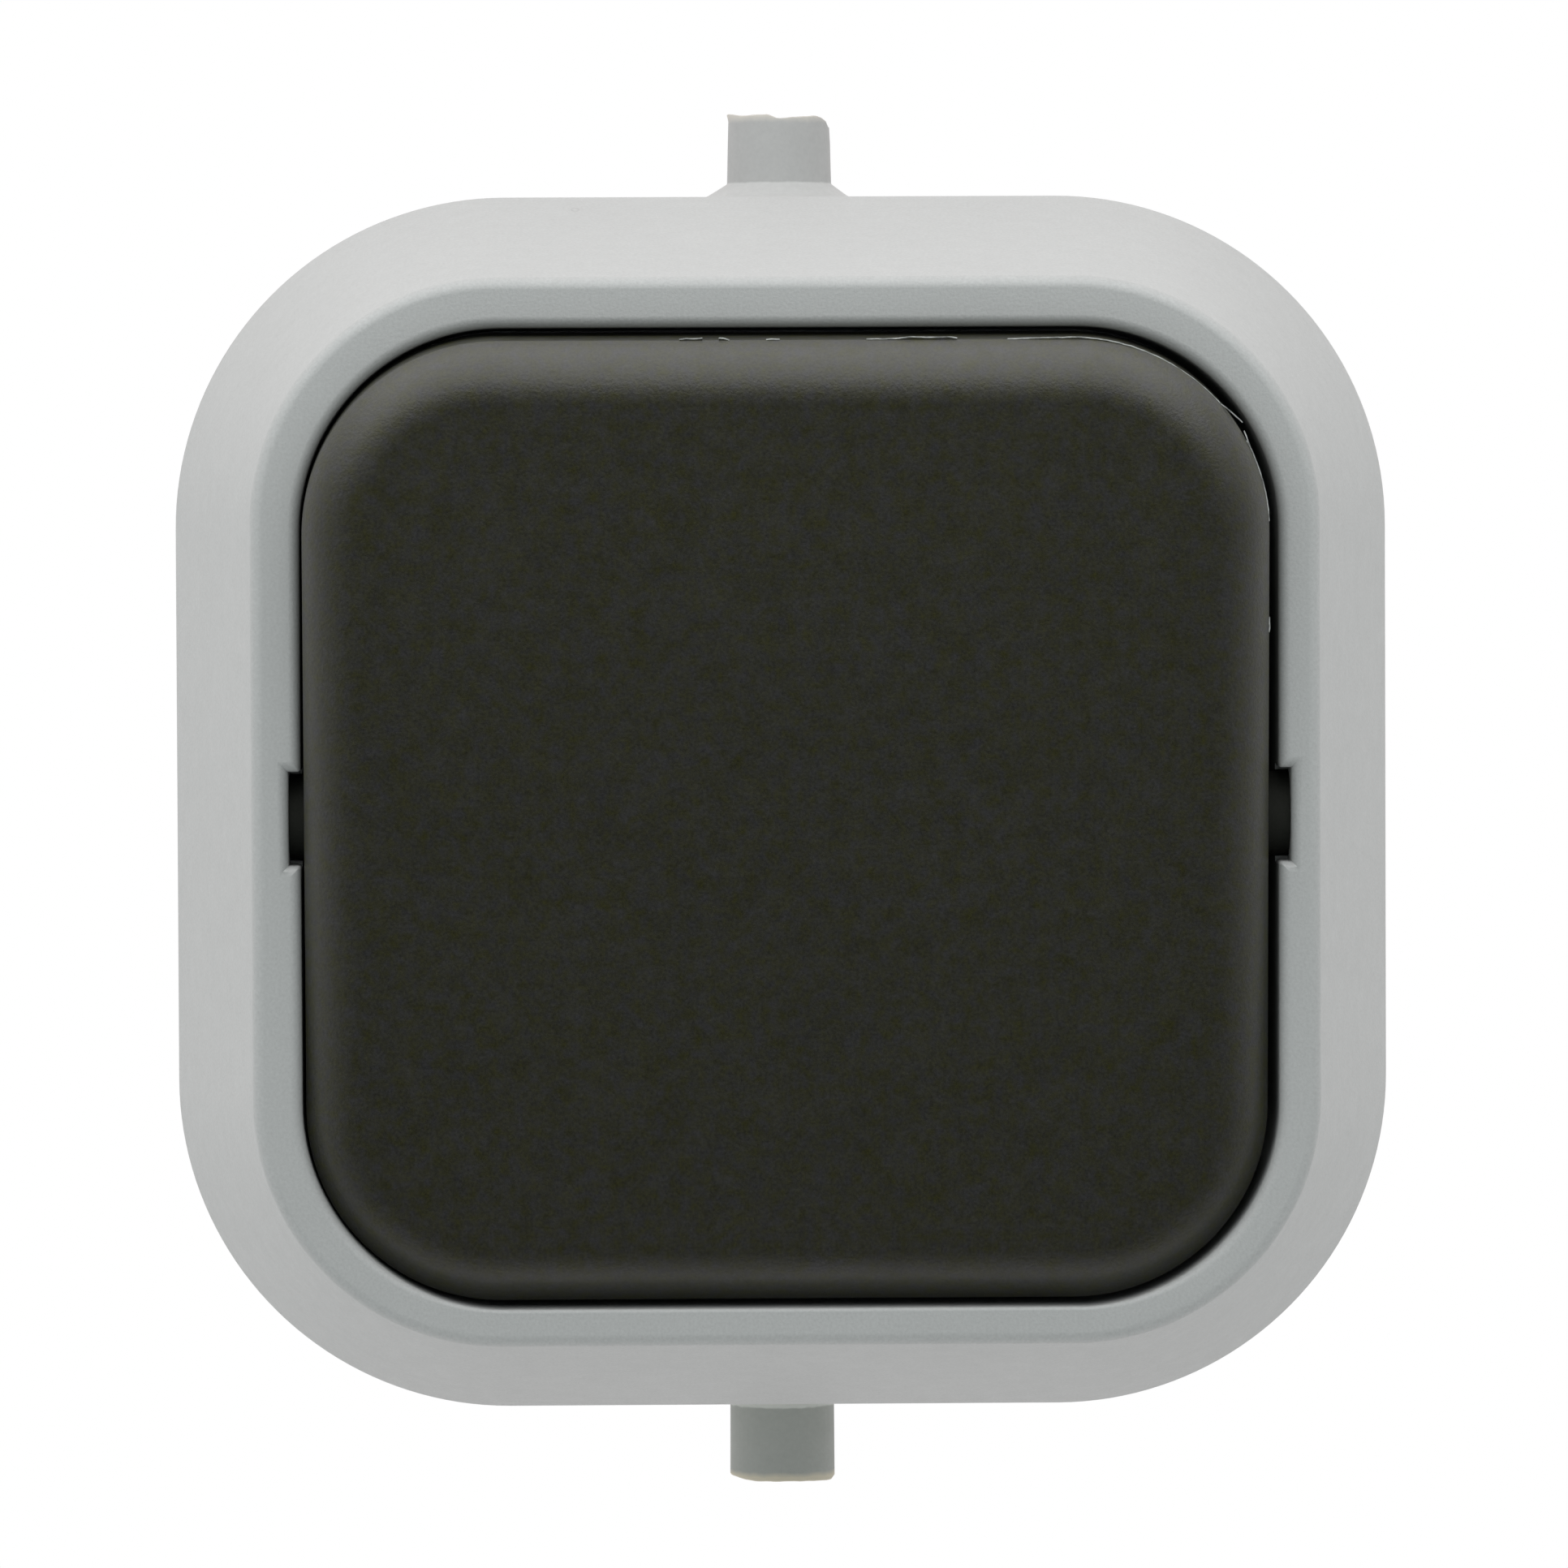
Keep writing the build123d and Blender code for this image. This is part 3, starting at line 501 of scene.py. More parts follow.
def metal(name, colour, smooth=0.22, rough=0.42, spacing=0.05):
    """Rolled or drawn metal."""
    material, tree, shader = new_material(name)
    line_values = {"Line spacing": spacing, "Smoothest": smooth, "Roughest": rough}
    lines = use_group(tree, "rolled_lines", line_values).outputs
    base = drifted(tree, colour, METAL_SPREAD, METAL_CLOUD)
    normal = bumped(tree, lines["Height"], LINE_BUMP, LINE_HEIGHT)
    set_inputs(tree, shader, {"Base Color": base, "Metallic": 1.0})
    set_inputs(tree, shader, {"Roughness": lines["Roughness"], "Normal": normal})
    return material


print("metal's colour drifts by", METAL_SPREAD)

# %% [markdown]
# ### A finish for each kind of piece
#
# The outside is light grey plastic with a dark rocker; inside are white and natural plastics, dark
# rubber, brass strips, silver tips and steel. The frame's record says which slot each piece belongs
# to, so one loop dresses them all. Pieces that we build anew below take the same finishes.

# %% Finishes of the pieces
HOUSING_COLOUR = srgb(194, 196, 195)
ROCKER_COLOUR = srgb(46, 46, 33)
SOFT = {"pit": 0.3, "depth": 0.12, "rough": (0.55, 0.7)}
ROCKER_LOOK = {
    "rough": (0.36, 0.44), "spread": 0.05, "cloud": 4.0, "specular": 0.8, "speck": 1.5, "tint": 2.0,
}
finishes = {
    "housing_grey": plastic("housing_grey", HOUSING_COLOUR)[0],
    "rocker_grey": plastic("rocker_grey", ROCKER_COLOUR, **ROCKER_LOOK)[0],
    "grommet_soft": plastic("grommet_soft", srgb(184, 186, 185), **SOFT)[0],
    "seal_rubber": plastic("seal_rubber", srgb(60, 60, 60), pit=0.4, depth=0.5, rough=(0.75, 0.9))[0],
    "socket_white": plastic("socket_white", srgb(226, 224, 216), depth=0.1, rough=(0.4, 0.5))[0],
    "toggle_natural": plastic("toggle_natural", srgb(214, 208, 190), depth=0.08, rough=(0.35, 0.45))[0],
    "zinc_steel": metal("zinc_steel", srgb(196, 199, 205)),
    "strip_brass": metal("strip_brass", srgb(210, 176, 104), smooth=0.18, rough=0.34),
    "contact_silver": metal("contact_silver", srgb(226, 226, 222), smooth=0.25, rough=0.4),
    "spring_steel": metal("spring_steel", srgb(170, 172, 178), smooth=0.15, rough=0.3, spacing=0.03),
}


def dress(obj, material):
    obj.data.materials.clear()
    obj.data.materials.append(material)


for subpart in frame["record"]["subparts"]:
    dress(frame["nodes"][subpart["node"]], finishes[subpart["material_slot"]])
print("finishes:", len(finishes), "dressed nodes:", len(frame["nodes"]))

# %% [markdown]
# ## Sweeping a section round a rounded square
#
# The cover and the rocker are rounded squares whose corners share the same four centres, whatever
# their size. So each can be drawn as one section, as distance from the middle and depth from the
# wall, and carried round. A subdivided cube would need many guessed creases; a carried section
# gives every radius exactly and keeps the mesh regular, so light runs smoothly over it.

# %% Corners and path
CORNER_CENTRE = 15.0
SIDE_STEPS = 20
CORNER_STEPS = 40
ARC_STEPS = 10


def rounded(points, radii):
    """Replace the corners of a line of points by arcs; radius 0 keeps a corner sharp."""
    smooth = []
    for index, (point, radius) in enumerate(zip(points, radii)):
        here = Vector(point)
        if radius == 0:
            smooth.append(here)
            continue
        back = (Vector(points[index - 1]) - here).normalized()
        ahead = (Vector(points[(index + 1) % len(points)]) - here).normalized()
        half = back.angle(ahead) / 2
        centre = here + (back + ahead).normalized() * (radius / sin(half))
        first = here + back * (radius / tan(half)) - centre
        last = here + ahead * (radius / tan(half)) - centre
        swing = first.angle_signed(last)
        for step in range(ARC_STEPS + 1):
            angle = -swing * step / ARC_STEPS
            x = first.x * cos(angle) - first.y * sin(angle)
            y = first.x * sin(angle) + first.y * cos(angle)
            smooth.append(centre + Vector((x, y)))
    return smooth


def path_round():
    """Places round the square of corner centres, each with its direction outward."""
    places = []
    for side in range(4):
        turn = Matrix.Rotation(side * pi / 2, 2)
        for step in range(SIDE_STEPS):
            along = CORNER_CENTRE * (2 * step / SIDE_STEPS - 1)
            places.append((turn @ Vector((CORNER_CENTRE, along)), turn @ Vector((1, 0))))
        for step in range(CORNER_STEPS):
            angle = pi / 2 * step / CORNER_STEPS
            outward = turn @ Vector((cos(angle), sin(angle)))
            places.append((turn @ Vector((CORNER_CENTRE, CORNER_CENTRE)), outward))
    return places


print("places round the square:", len(path_round()), "points on a corner:", ARC_STEPS + 1)


# %% Meshes from rings
def new_object(name, shape):
    """Turn a bmesh drawn in millimetres into an object in metres."""
    bmesh.ops.recalc_face_normals(shape, faces=shape.faces)
    bmesh.ops.scale(shape, vec=(MM, MM, MM), verts=shape.verts)
    mesh = bpy.data.meshes.new(name)
    shape.to_mesh(mesh)
    shape.free()
    piece = bpy.data.objects.new(name, mesh)
    scene.collection.objects.link(piece)
    return piece


def bridged(shape, rings):
    """Faces between neighbouring rings of points, and a cap on the first and last ring."""
    grid = [[shape.verts.new(point) for point in ring] for ring in rings]
    for lower, upper in zip(grid, grid[1:]):
        for index in range(len(lower)):
            after = (index + 1) % len(lower)
            shape.faces.new((lower[index], lower[after], upper[after], upper[index]))
    shape.faces.new(grid[0][::-1])
    shape.faces.new(grid[-1])


def carried_round(name, section_towards):
    """Carry a section, which may change with its direction, round the square; caps close its ends."""
    columns = []
    for centre, outward in path_round():
        column = []
        for half, depth in section_towards(outward):
            place = centre + outward * (half - CORNER_CENTRE)
            column.append((place.x, -depth, place.y))
        columns.append(column)
    shape = bmesh.new()
    bridged(shape, list(zip(*columns)))
    return new_object(name, shape)


# %% [markdown]
# ### Lathe, prism and Boolean
#
# Turned pieces, such as pegs and nozzles, are lathe work: a profile of radius and height, spun about
# an axis. Plates and cutters are outlines pushed through a depth. Holes are cut with the exact
# Boolean solver and applied at once, so that no helper object is left in the scene.

# %% Lathe, prism and Boolean helpers
LATHE_STEPS = 96


def turned(name, profile, place=(0, 0, 0), axis=(0, 0, 1)):
    """Spin a profile of (radius, height) about an axis through a place; its ends are capped."""
    shape = bmesh.new()
    angles = [2 * pi * step / LATHE_STEPS for step in range(LATHE_STEPS)]
    rings = [[(radius * cos(a), radius * sin(a), height) for a in angles] for radius, height in profile]
    bridged(shape, rings)
    turn = Vector(axis).to_track_quat("Z", "Y").to_matrix().to_4x4()
    bmesh.ops.transform(shape, matrix=Matrix.Translation(place) @ turn, verts=shape.verts)
    return new_object(name, shape)


def rectangle(width, height, radius=0.0):
    """Outline of a rectangle with rounded corners, in x and z."""
    right, top = width / 2, height / 2
    return rounded([(-right, -top), (right, -top), (right, top), (-right, top)], [radius] * 4)


def prism(name, outline, back, front):
    """Push an outline in x and z from one depth to another."""
    shape = bmesh.new()
    bridged(shape, [[(p.x, -depth, p.y) for p in outline] for depth in (back, front)])
    return new_object(name, shape)


def combine(piece, tool, operation):
    """Cut a tool from a piece, or fuse it on, and throw the tool away."""
    modifier = piece.modifiers.new(operation, "BOOLEAN")
    modifier.operation = operation
    modifier.solver = "EXACT"
    modifier.object = tool
    seen = piece.evaluated_get(bpy.context.evaluated_depsgraph_get())
    mesh = bpy.data.meshes.new_from_object(seen)
    piece.modifiers.clear()
    piece.data = mesh
    bpy.data.objects.remove(tool)


def cut(piece, tool):
    combine(piece, tool, "DIFFERENCE")


def fuse(piece, tool):
    combine(piece, tool, "UNION")


print("lathe steps:", LATHE_STEPS)

# %% [markdown]
# ### Handing a piece over
#
# A finished piece is shaded smooth, with its crisp edges kept, and its normals are weighted by the
# size of the faces, so that flat walls stay flat beside small roundings. Then it gets its finish and
# the body that it moves with, and the nodes of the frame that it stands for are hidden.

# %% Finishing a piece
SHARP_DEGREES = 32


def finish_piece(piece, material, body, slot, *nodes):
    """Smooth shading with crisp edges, a finish and a body to ride on; the nodes that it stands for are hidden."""
    piece.data.shade_smooth()
    piece.data.set_sharp_from_angle(angle=radians(SHARP_DEGREES))
    weighted = piece.modifiers.new("even_light", "WEIGHTED_NORMAL")
    weighted.keep_sharp = True
    dress(piece, material)
    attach(piece, body)
    if nodes:
        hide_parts(*nodes)
    print(piece.name, "faces:", len(piece.data.polygons))


print("edges stay crisp above", SHARP_DEGREES, "degrees")

# %% [markdown]
# ## The cover
#
# The cover is one moulding: a sloping wall, a narrow ring at the front, a well for the rocker and a
# floor under it. Its section starts on the well's floor, climbs the well, rounds over the ring, runs
# down the slope to the rim and returns inside. Sizes that the frame knows are read from the frame.
# On this one the ring's outer edge sits a little up and to the left, and the opening is a little
# wider and crisper along the bottom, so the section changes slightly on its way round.

# %% Cover sizes
cover_low, cover_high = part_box("front_cover")
rim_half = cover_high.x / MM
ring_depth = -cover_low.y / MM
tongue_depth = -cover_high.y / MM
TONGUE_LENGTH = 2.8
TONGUE_OUTER = 29.9
TONGUE_INNER = 28.9
GROOVE_INNER = 30.6
GROOVE_OUTER = 32.0
GROOVE_DEPTH = 1.0
RIM_LAND = 0.9
RIM_EDGE = 0.4
RIM_BLEND = 1.2
RIM_WEB = 2.2
COVER_WALL = 2.0
SLOPE_INSET = 5.2
RING_WIDTH = 2.28
RING_EDGE = 0.7
RING_SHIFT = Vector((-0.2, 0.26))
OPENING_EDGE = 0.6
LOWER_EDGE = 0.2
LOWER_GAP = 0.17
LOWER_POWER = 6
WELL_DEPTH = 9.9
WELL_WALL = 1.6
PAN = 1.8
CAP_LIP = 0.5

cap_half = CORNER_CENTRE + CAP_LIP
rim_depth = tongue_depth + TONGUE_LENGTH
slope_foot = rim_depth + RIM_LAND
slope = SLOPE_INSET / (ring_depth - slope_foot)
ring_half = rim_half - SLOPE_INSET
well_half = ring_half - RING_WIDTH
pan_top = ring_depth - WELL_DEPTH
pan_under = pan_top - PAN
well_back = well_half + WELL_WALL
inner_rim = rim_half - COVER_WALL
web_depth = rim_depth + RIM_WEB
groove_depth = rim_depth + GROOVE_DEPTH
print("cover: rim to ring", round(ring_depth - rim_depth, 2), "mm")


# %% Cover section
def cover_section(outward):
    """The cover's section towards one direction."""
    low = max(-outward.y, 0.0) ** LOWER_POWER
    opening = well_half + LOWER_GAP * low
    edge = OPENING_EDGE + (LOWER_EDGE - OPENING_EDGE) * low
    line = [
        ((cap_half, pan_top), 0),
        ((opening, pan_top), 0),
        ((opening, ring_depth), edge),
        ((ring_half + outward.dot(RING_SHIFT), ring_depth), RING_EDGE),
        ((rim_half, slope_foot), RIM_BLEND),
        ((rim_half, rim_depth), RIM_EDGE),
        ((GROOVE_OUTER, rim_depth), 0),
        ((GROOVE_OUTER, groove_depth), 0),
        ((GROOVE_INNER, groove_depth), 0),
        ((GROOVE_INNER, rim_depth), 0),
        ((TONGUE_OUTER, rim_depth), 0),
        ((TONGUE_OUTER, tongue_depth), 0),
        ((TONGUE_INNER, tongue_depth), 0),
        ((TONGUE_INNER, web_depth), 0),
        ((inner_rim - slope * (web_depth - slope_foot), web_depth), 0),
        ((well_back, slope_foot + (inner_rim - well_back) / slope), 0),
        ((well_back, pan_under), 0),
        ((cap_half, pan_under), 0),
    ]
    return rounded(*zip(*line))


cover = carried_round("front_cover_shell", cover_section)
print("cover: points on its section", len(cover_section(Vector((1, 0)))))

# %% [markdown]
# ### The floor of the well
#
# The floor of the well has a collared window for the rocker's stem, which keeps splashes out, and
# two sunk screws that hold the cover. Their posts reach back to the box, so each is a turned peg
# that is fused on and then bored with a stepped cutter.

# %% Cover floor
WINDOW_WIDTH = 15.0
WINDOW_HEIGHT = 11.0
WINDOW_RADIUS = 2.0
COLLAR = 1.3
COLLAR_HEIGHT = 1.5
SCREW_HEAD = 3.0
SEAT_RADIUS = 3.3
SEAT_DEPTH = 2.0
SHANK_RADIUS = 1.9
POST_RADIUS = 4.2
SPARE = 1.0

collar_top = pan_top + COLLAR_HEIGHT
pan_middle = pan_top - PAN / 2
seat_level = pan_top - SEAT_DEPTH
screw_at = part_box("cover_screws")[1].x / MM - SCREW_HEAD
window_outline = rectangle(WINDOW_WIDTH, WINDOW_HEIGHT, WINDOW_RADIUS)
collar_outline = rectangle(WINDOW_WIDTH + 2 * COLLAR, WINDOW_HEIGHT + 2 * COLLAR, WINDOW_RADIUS + COLLAR)
fuse(cover, prism("window_collar", collar_outline, pan_middle, collar_top))
cut(cover, prism("window", window_outline, pan_under - SPARE, collar_top + SPARE))
post = [(POST_RADIUS, rim_depth), (POST_RADIUS, pan_middle)]
seat = [
    (SHANK_RADIUS, rim_depth - SPARE),
    (SHANK_RADIUS, seat_level),
    (SEAT_RADIUS, seat_level),
    (SEAT_RADIUS, pan_top + SPARE),
]
for side in (1, -1):
    post_foot = (side * screw_at, 0, side * screw_at)
    fuse(cover, turned("post", post, post_foot, (0, -1, 0)))
    cut(cover, turned("screw_seat", seat, post_foot, (0, -1, 0)))
print("cover screws at", round(screw_at, 2), "mm from the middle")

# %% [markdown]
# ### Bearings and notches
#
# Beside the rocker, two notches lead its trunnions into round bearings. The opening's soft edge runs
# on round each notch, so the notch cutter flares at the top by the same radius, in a stack of
# growing outlines.

# %% Cover notches
BEARING_RADIUS = 2.28
BEARING_REACH = 27.11
NOTCH_WIDTH = 4.9
NOTCH_DEPTH = 0.65
NOTCH_LIP = 0.2
LIP_STEPS = 5
OVERRUN = 2
TINY = 0.01

hinge = next(joint for joint in frame["joints"] if joint["name"] == "rocker_hinge")
rocker_axis = -hinge["pos_m"][1] / MM


def on_axis(name, radius, first, last, side):
    """A round peg on the rocker's axis, between two distances from the middle to one side."""
    return turned(name, [(radius, first), (radius, last)], (0, -rocker_axis, 0), (side, 0, 0))


def notch_outline(grow):
    """The notch widened by some growth, with a lip rounded to each side where it meets the well."""
    half = NOTCH_WIDTH / 2 + grow
    wall = well_half + grow
    lip = max(NOTCH_LIP - grow, TINY)
    angles = [pi / 2 * step / LIP_STEPS for step in range(LIP_STEPS + 1)]
    upper = [(wall - SPARE, half + lip)]
    upper += [(wall + lip * (1 - cos(angle)), half + lip * (1 - sin(angle))) for angle in angles]
    upper.append((wall + NOTCH_DEPTH, half))
    return upper + [(x, -z) for x, z in reversed(upper)]


def notch_cutter(side):
    """A slot from the bearing to the ring that flares with the opening's rounded edge."""
    levels = [(0.0, rocker_axis)]
    for step in range(ARC_STEPS):
        angle = pi / 2 * step / ARC_STEPS
        levels.append((OPENING_EDGE * (1 - cos(angle)), ring_depth - OPENING_EDGE * (1 - sin(angle))))
    (before, low), (grow, high) = levels[-2:]
    levels.append((grow + OVERRUN * (grow - before), high + OVERRUN * (high - low)))
    shape = bmesh.new()
    bridged(shape, [[(side * x, -depth, z) for x, z in notch_outline(grow)] for grow, depth in levels])
    return new_object("notch", shape)


for side in (1, -1):
    cut(cover, on_axis("bearing", BEARING_RADIUS, well_half - SPARE, BEARING_REACH, side))
    cut(cover, notch_cutter(side))
print("bearings at depth", round(rocker_axis, 2), "mm")

# %% [markdown]
# ### The cover's finish
#
# A few small faults sit on the slopes: a faint ring and a scratch above, a dark dot at the left and
# a speck below. Each is a soft spot at its own place, in x, depth and height, that darkens the grey.
# Painting them on an image would need unwrapped surfaces; spots in space need none.

# %% Cover finish with its marks
# Each mark has its place, its stretch, its radius, its soft border and how much it darkens.
MARKS = [
    ((-28.93, 39.05, 3.55), (1, 1, 1), 0.07, 0.08, 0.45),
    ((-6.27, 35.95, -29.64), (1, 0.5, 1), 0.06, 0.07, 0.18),
    ((-5.94, 36.3, -29.56), (1, 0.5, 1), 0.05, 0.08, 0.08),
    ((13.95, 30.9, 30.8), (1, 0.4, 1), 0.09, 0.06, 0.1),
    ((14.18, 31.75, 30.61), (0.6, 0.6, 1), 0.11, 0.06, 0.17),
]
RING_MARK = ((-11.13, 24.85, 32.19), (1, 0.36, 1))
RING_MARK_RADII = (0.24, 0.15)
RING_MARK_SOFT = 0.08
RING_MARK_SHADE = 0.13


def spot(tree, place, stretch, radius, soft):
    at = (place[0] * MM, -place[1] * MM, place[2] * MM)
    values = {"Place": at, "Stretch": stretch, "Radius": radius, "Soft": soft}
    return use_group(tree, "soft_spot", values).outputs["Mask"]


def make_cover_finish():
    material, tree, shader, colour = plastic("cover_grey", HOUSING_COLOUR)
    outer, inner = [spot(tree, *RING_MARK, radius, RING_MARK_SOFT) for radius in RING_MARK_RADII]
    shade = work(tree, "MULTIPLY", work(tree, "SUBTRACT", outer, inner), RING_MARK_SHADE)
    for *where, strength in MARKS:
        shade = work(tree, "MULTIPLY_ADD", spot(tree, *where), strength, shade)
    value = work(tree, "SUBTRACT", 1.0, shade)
    set_inputs(tree, shader, {"Base Color": brightened(tree, colour, value)})
    return material


finish_piece(cover, make_cover_finish(), "housing", "housing_grey", "front_cover")
print("marks:", len(MARKS) + 1)

# %% [markdown]
# ## The rocker
#
# The rocker is a pillow with a soft crown and drafted sides. The crown is an arc that meets the side
# at a crisp rim. Where they meet depends on both, so a few rounds of trying settle the angle.

# %% Rocker section
ROCKER_GAP = 0.26
ROCKER_PROUD = 2.2
ROCKER_HEIGHT = 6.4
CROWN_RADIUS = 3.7
CROWN_OVERHANG = 0.5
CROWN_STEPS = 16
CROWN_RIM = 0.12
SETTLE_STEPS = 8
ROCKER_WALL = 2.0
ROCKER_SKIN = 2.0
ROCKER_DRAFT = tan(radians(1.6))

rocker_half = well_half - ROCKER_GAP
face_depth = ring_depth + ROCKER_PROUD
rocker_rim = face_depth - ROCKER_HEIGHT
face_half = rocker_half - ROCKER_DRAFT * ROCKER_HEIGHT
skin_under = face_depth - ROCKER_SKIN
inner_half = rocker_half - ROCKER_WALL
crown_half = face_half + CROWN_OVERHANG - CROWN_RADIUS
crown_depth = face_depth - CROWN_RADIUS


def crown_at(angle):
    return crown_half + CROWN_RADIUS * sin(angle), crown_depth + CROWN_RADIUS * cos(angle)


crown_end = pi / 3
for _ in range(SETTLE_STEPS):
    wall_half = rocker_half - ROCKER_DRAFT * (crown_at(crown_end)[1] - rocker_rim)
    crown_end = asin((wall_half - crown_half) / CROWN_RADIUS)
rocker_line = [((cap_half, face_depth), 0)]
rocker_line += [(crown_at(crown_end * step / CROWN_STEPS), 0) for step in range(CROWN_STEPS)]
rocker_line += [
    (crown_at(crown_end), CROWN_RIM),
    ((rocker_half, rocker_rim), 0),
    ((inner_half, rocker_rim), 0),
    ((inner_half - ROCKER_DRAFT * (skin_under - rocker_rim), skin_under), 0),
    ((cap_half, skin_under), 0),
]
rocker_section = rounded(*zip(*rocker_line))
rocker = carried_round("rocker_pillow", lambda outward: rocker_section)
print("rocker: half width", round(rocker_half, 2), "mm")

# %% [markdown]
# ### Under the rocker
#
# The underside is hollow and carries two crossed ribs, an ear with a round trunnion at each side, and
# the stem that drives the toggle: a tapered blade with a round tip. All are fused on as solids, as
# they would be in one mould.

# %% Rocker underside
RIB_WIDTH = 1.2
RIB_HEIGHT = 2.5
TRUNNION_RADIUS = 2.2
TRUNNION_REACH = 1.4
EAR_LAND = 0.6
STEM_WIDTH = 8.0
STEM_TIP_DEPTH = 30.86
STEM_TIP_RADIUS = 1.2
STEM_NECK = 0.8
STEM_ROOT = 2.5

overlap = RIB_WIDTH / 2
root_depth = skin_under + overlap
for size in ((2 * inner_half, RIB_WIDTH), (RIB_WIDTH, 2 * inner_half)):
    fuse(rocker, prism("rib", rectangle(*size), skin_under - RIB_HEIGHT, root_depth))
ear_radius = TRUNNION_RADIUS + EAR_LAND
pin_foot = inner_half + overlap
pin_end = rocker_half + TRUNNION_REACH
for side in (1, -1):
    fuse(rocker, on_axis("ear", ear_radius, inner_half, face_half, side))
    fuse(rocker, on_axis("trunnion", TRUNNION_RADIUS, pin_foot, pin_end, side))
neck_depth = STEM_TIP_DEPTH + 2 * STEM_TIP_RADIUS
stem_rings = []
for half, depth in ((STEM_NECK, STEM_TIP_DEPTH), (STEM_NECK, neck_depth), (STEM_ROOT, root_depth)):
    stem_rings.append([(p.x, -depth, p.y) for p in rectangle(STEM_WIDTH, 2 * half)])
stem = bmesh.new()
bridged(stem, stem_rings)
fuse(rocker, new_object("stem", stem))
stem_tip = [(STEM_TIP_RADIUS, -STEM_WIDTH / 2), (STEM_TIP_RADIUS, STEM_WIDTH / 2)]
fuse(rocker, turned("stem_tip", stem_tip, (0, -STEM_TIP_DEPTH, 0), (1, 0, 0)))
print("rocker stem reaches depth", STEM_TIP_DEPTH, "mm")

# %% [markdown]
# ### The rocker at rest
#
# So far it is drawn level. At rest its lower end is pressed in, so it is tipped about its hinge by
# half of the hinge's travel, and it sits a little to the left in its bearings. The trunnions in the
# notches look duller than the face, so their faces get a finish of their own.

# %% Rocker at rest
SIDE_PLAY = -0.2

rest_tilt = radians(hinge["range_deg"][1] / 2)
pivot = Vector(hinge["pos_m"])
tip = Matrix.Translation(pivot) @ Matrix.Rotation(rest_tilt, 4, "X") @ Matrix.Translation(-pivot)
at_rest = Matrix.Translation((SIDE_PLAY * MM, 0, 0)) @ tip
rocker.data.transform(at_rest)
finish_piece(rocker, finishes["rocker_grey"], "rocker", "rocker_grey", "rocker")
rocker.data.materials.append(plastic("trunnion_dull", srgb(46, 47, 43), rough=(0.75, 0.9), specular=0.1)[0])
for face in rocker.data.polygons:
    if abs(face.center.x - SIDE_PLAY * MM) > (rocker_half + TINY) * MM:
        face.material_index = 1

# %% [markdown]
# ### Moulding flash
#
# Where the mould's halves met, a thin film of plastic crept out and tore, and its edge turned white.
# It runs along the rocker's upper rim and round the right corner, with one loose sliver. Each line
# below says how far the edge stands out at each length along the rim, counted from the top middle
# to the right. Real strips catch the light from every side, which a painted line wouldn't.

# %% Flash lines
FLASH_LINES = [
    [(-5.5, 0.08), (-5.2, 0.13), (-4.7, 0.11), (-4.3, 0.15)],
    [(-3.45, 0.15), (-3.2, 0.13), (-2.9, 0.05)],
    [(-1.0, 0.06), (-0.7, 0.09), (-0.3, 0.07)],
    [(4.2, 0.06), (5.9, 0.1), (6.4, 0.17), (7.6, 0.15), (8.6, 0.16), (8.9, 0.11)],
    [(11.5, 0.05), (13.2, 0.1), (15.0, 0.13), (17.5, 0.08), (20.5, 0.03), (23.6, 0.03)],
    [(25.9, 0.06), (27.4, 0.04), (29.0, 0.05), (30.3, 0.03)],
    [(35.3, 0.03), (35.9, 0.06), (36.1, 0.03)],
]
SLIVER_LINES = [[(23.5, 0.03), (25.0, 0.34)], [(25.4, 0.18), (26.2, 0.07)]]
FLASH_EDGE = 0.06
FLASH_STEP = 0.12
FLASH_HALF = 0.015
FLASH_FOOT = -0.04
FLASH_RAGGED = 0.02
FLASH_WAVES = 3.1
FLASH_ROW = 0.7
rim_reach, rim_level = crown_at(crown_end)


def between(line, at):
    """Value on a line of points, straight between them and level beyond its ends."""
    for (first, low), (last, high) in zip(line, line[1:]):
        if at <= last:
            return low + (high - low) * max(at - first, 0.0) / (last - first)
    return line[-1][1]


def rim_place(length, out):
    """A place outside the rocker's rim, in x and z, at a length from its top middle to the right."""
    corner = rim_reach - CORNER_CENTRE
    turn = min(max(abs(length) - CORNER_CENTRE, 0.0) / corner, pi / 2)
    x = min(abs(length), CORNER_CENTRE) + (corner + out) * sin(turn)
    z = CORNER_CENTRE + (corner + out) * cos(turn)
    z -= max(abs(length) - CORNER_CENTRE - corner * pi / 2, 0.0)
    return (x if length > 0 else -x), z


print("flash lines:", len(FLASH_LINES), "and", len(SLIVER_LINES), "of the sliver")


# %% Flash strips
def ribbon(shape, line, foot):
    """A thin strip whose outer edge follows a line; its inner edge is at a foot or a little inside."""
    start, end = line[0][0], line[-1][0]
    steps = max(2, round((end - start) / FLASH_STEP))
    rings = []
    for step in range(steps + 1):
        length = start + (end - start) * step / steps
        ragged = FLASH_RAGGED * noise.noise(Vector((FLASH_WAVES * length, FLASH_ROW, 0.0)))
        out = between(line, length) + ragged
        inner = rim_place(length, out - FLASH_EDGE if foot is None else foot)
        outer = rim_place(length, out)
        edges = [(inner, -FLASH_HALF), (outer, -FLASH_HALF), (outer, FLASH_HALF), (inner, FLASH_HALF)]
        rings.append([(x, -rim_level - rise, z) for (x, z), rise in edges])
    bridged(shape, rings)


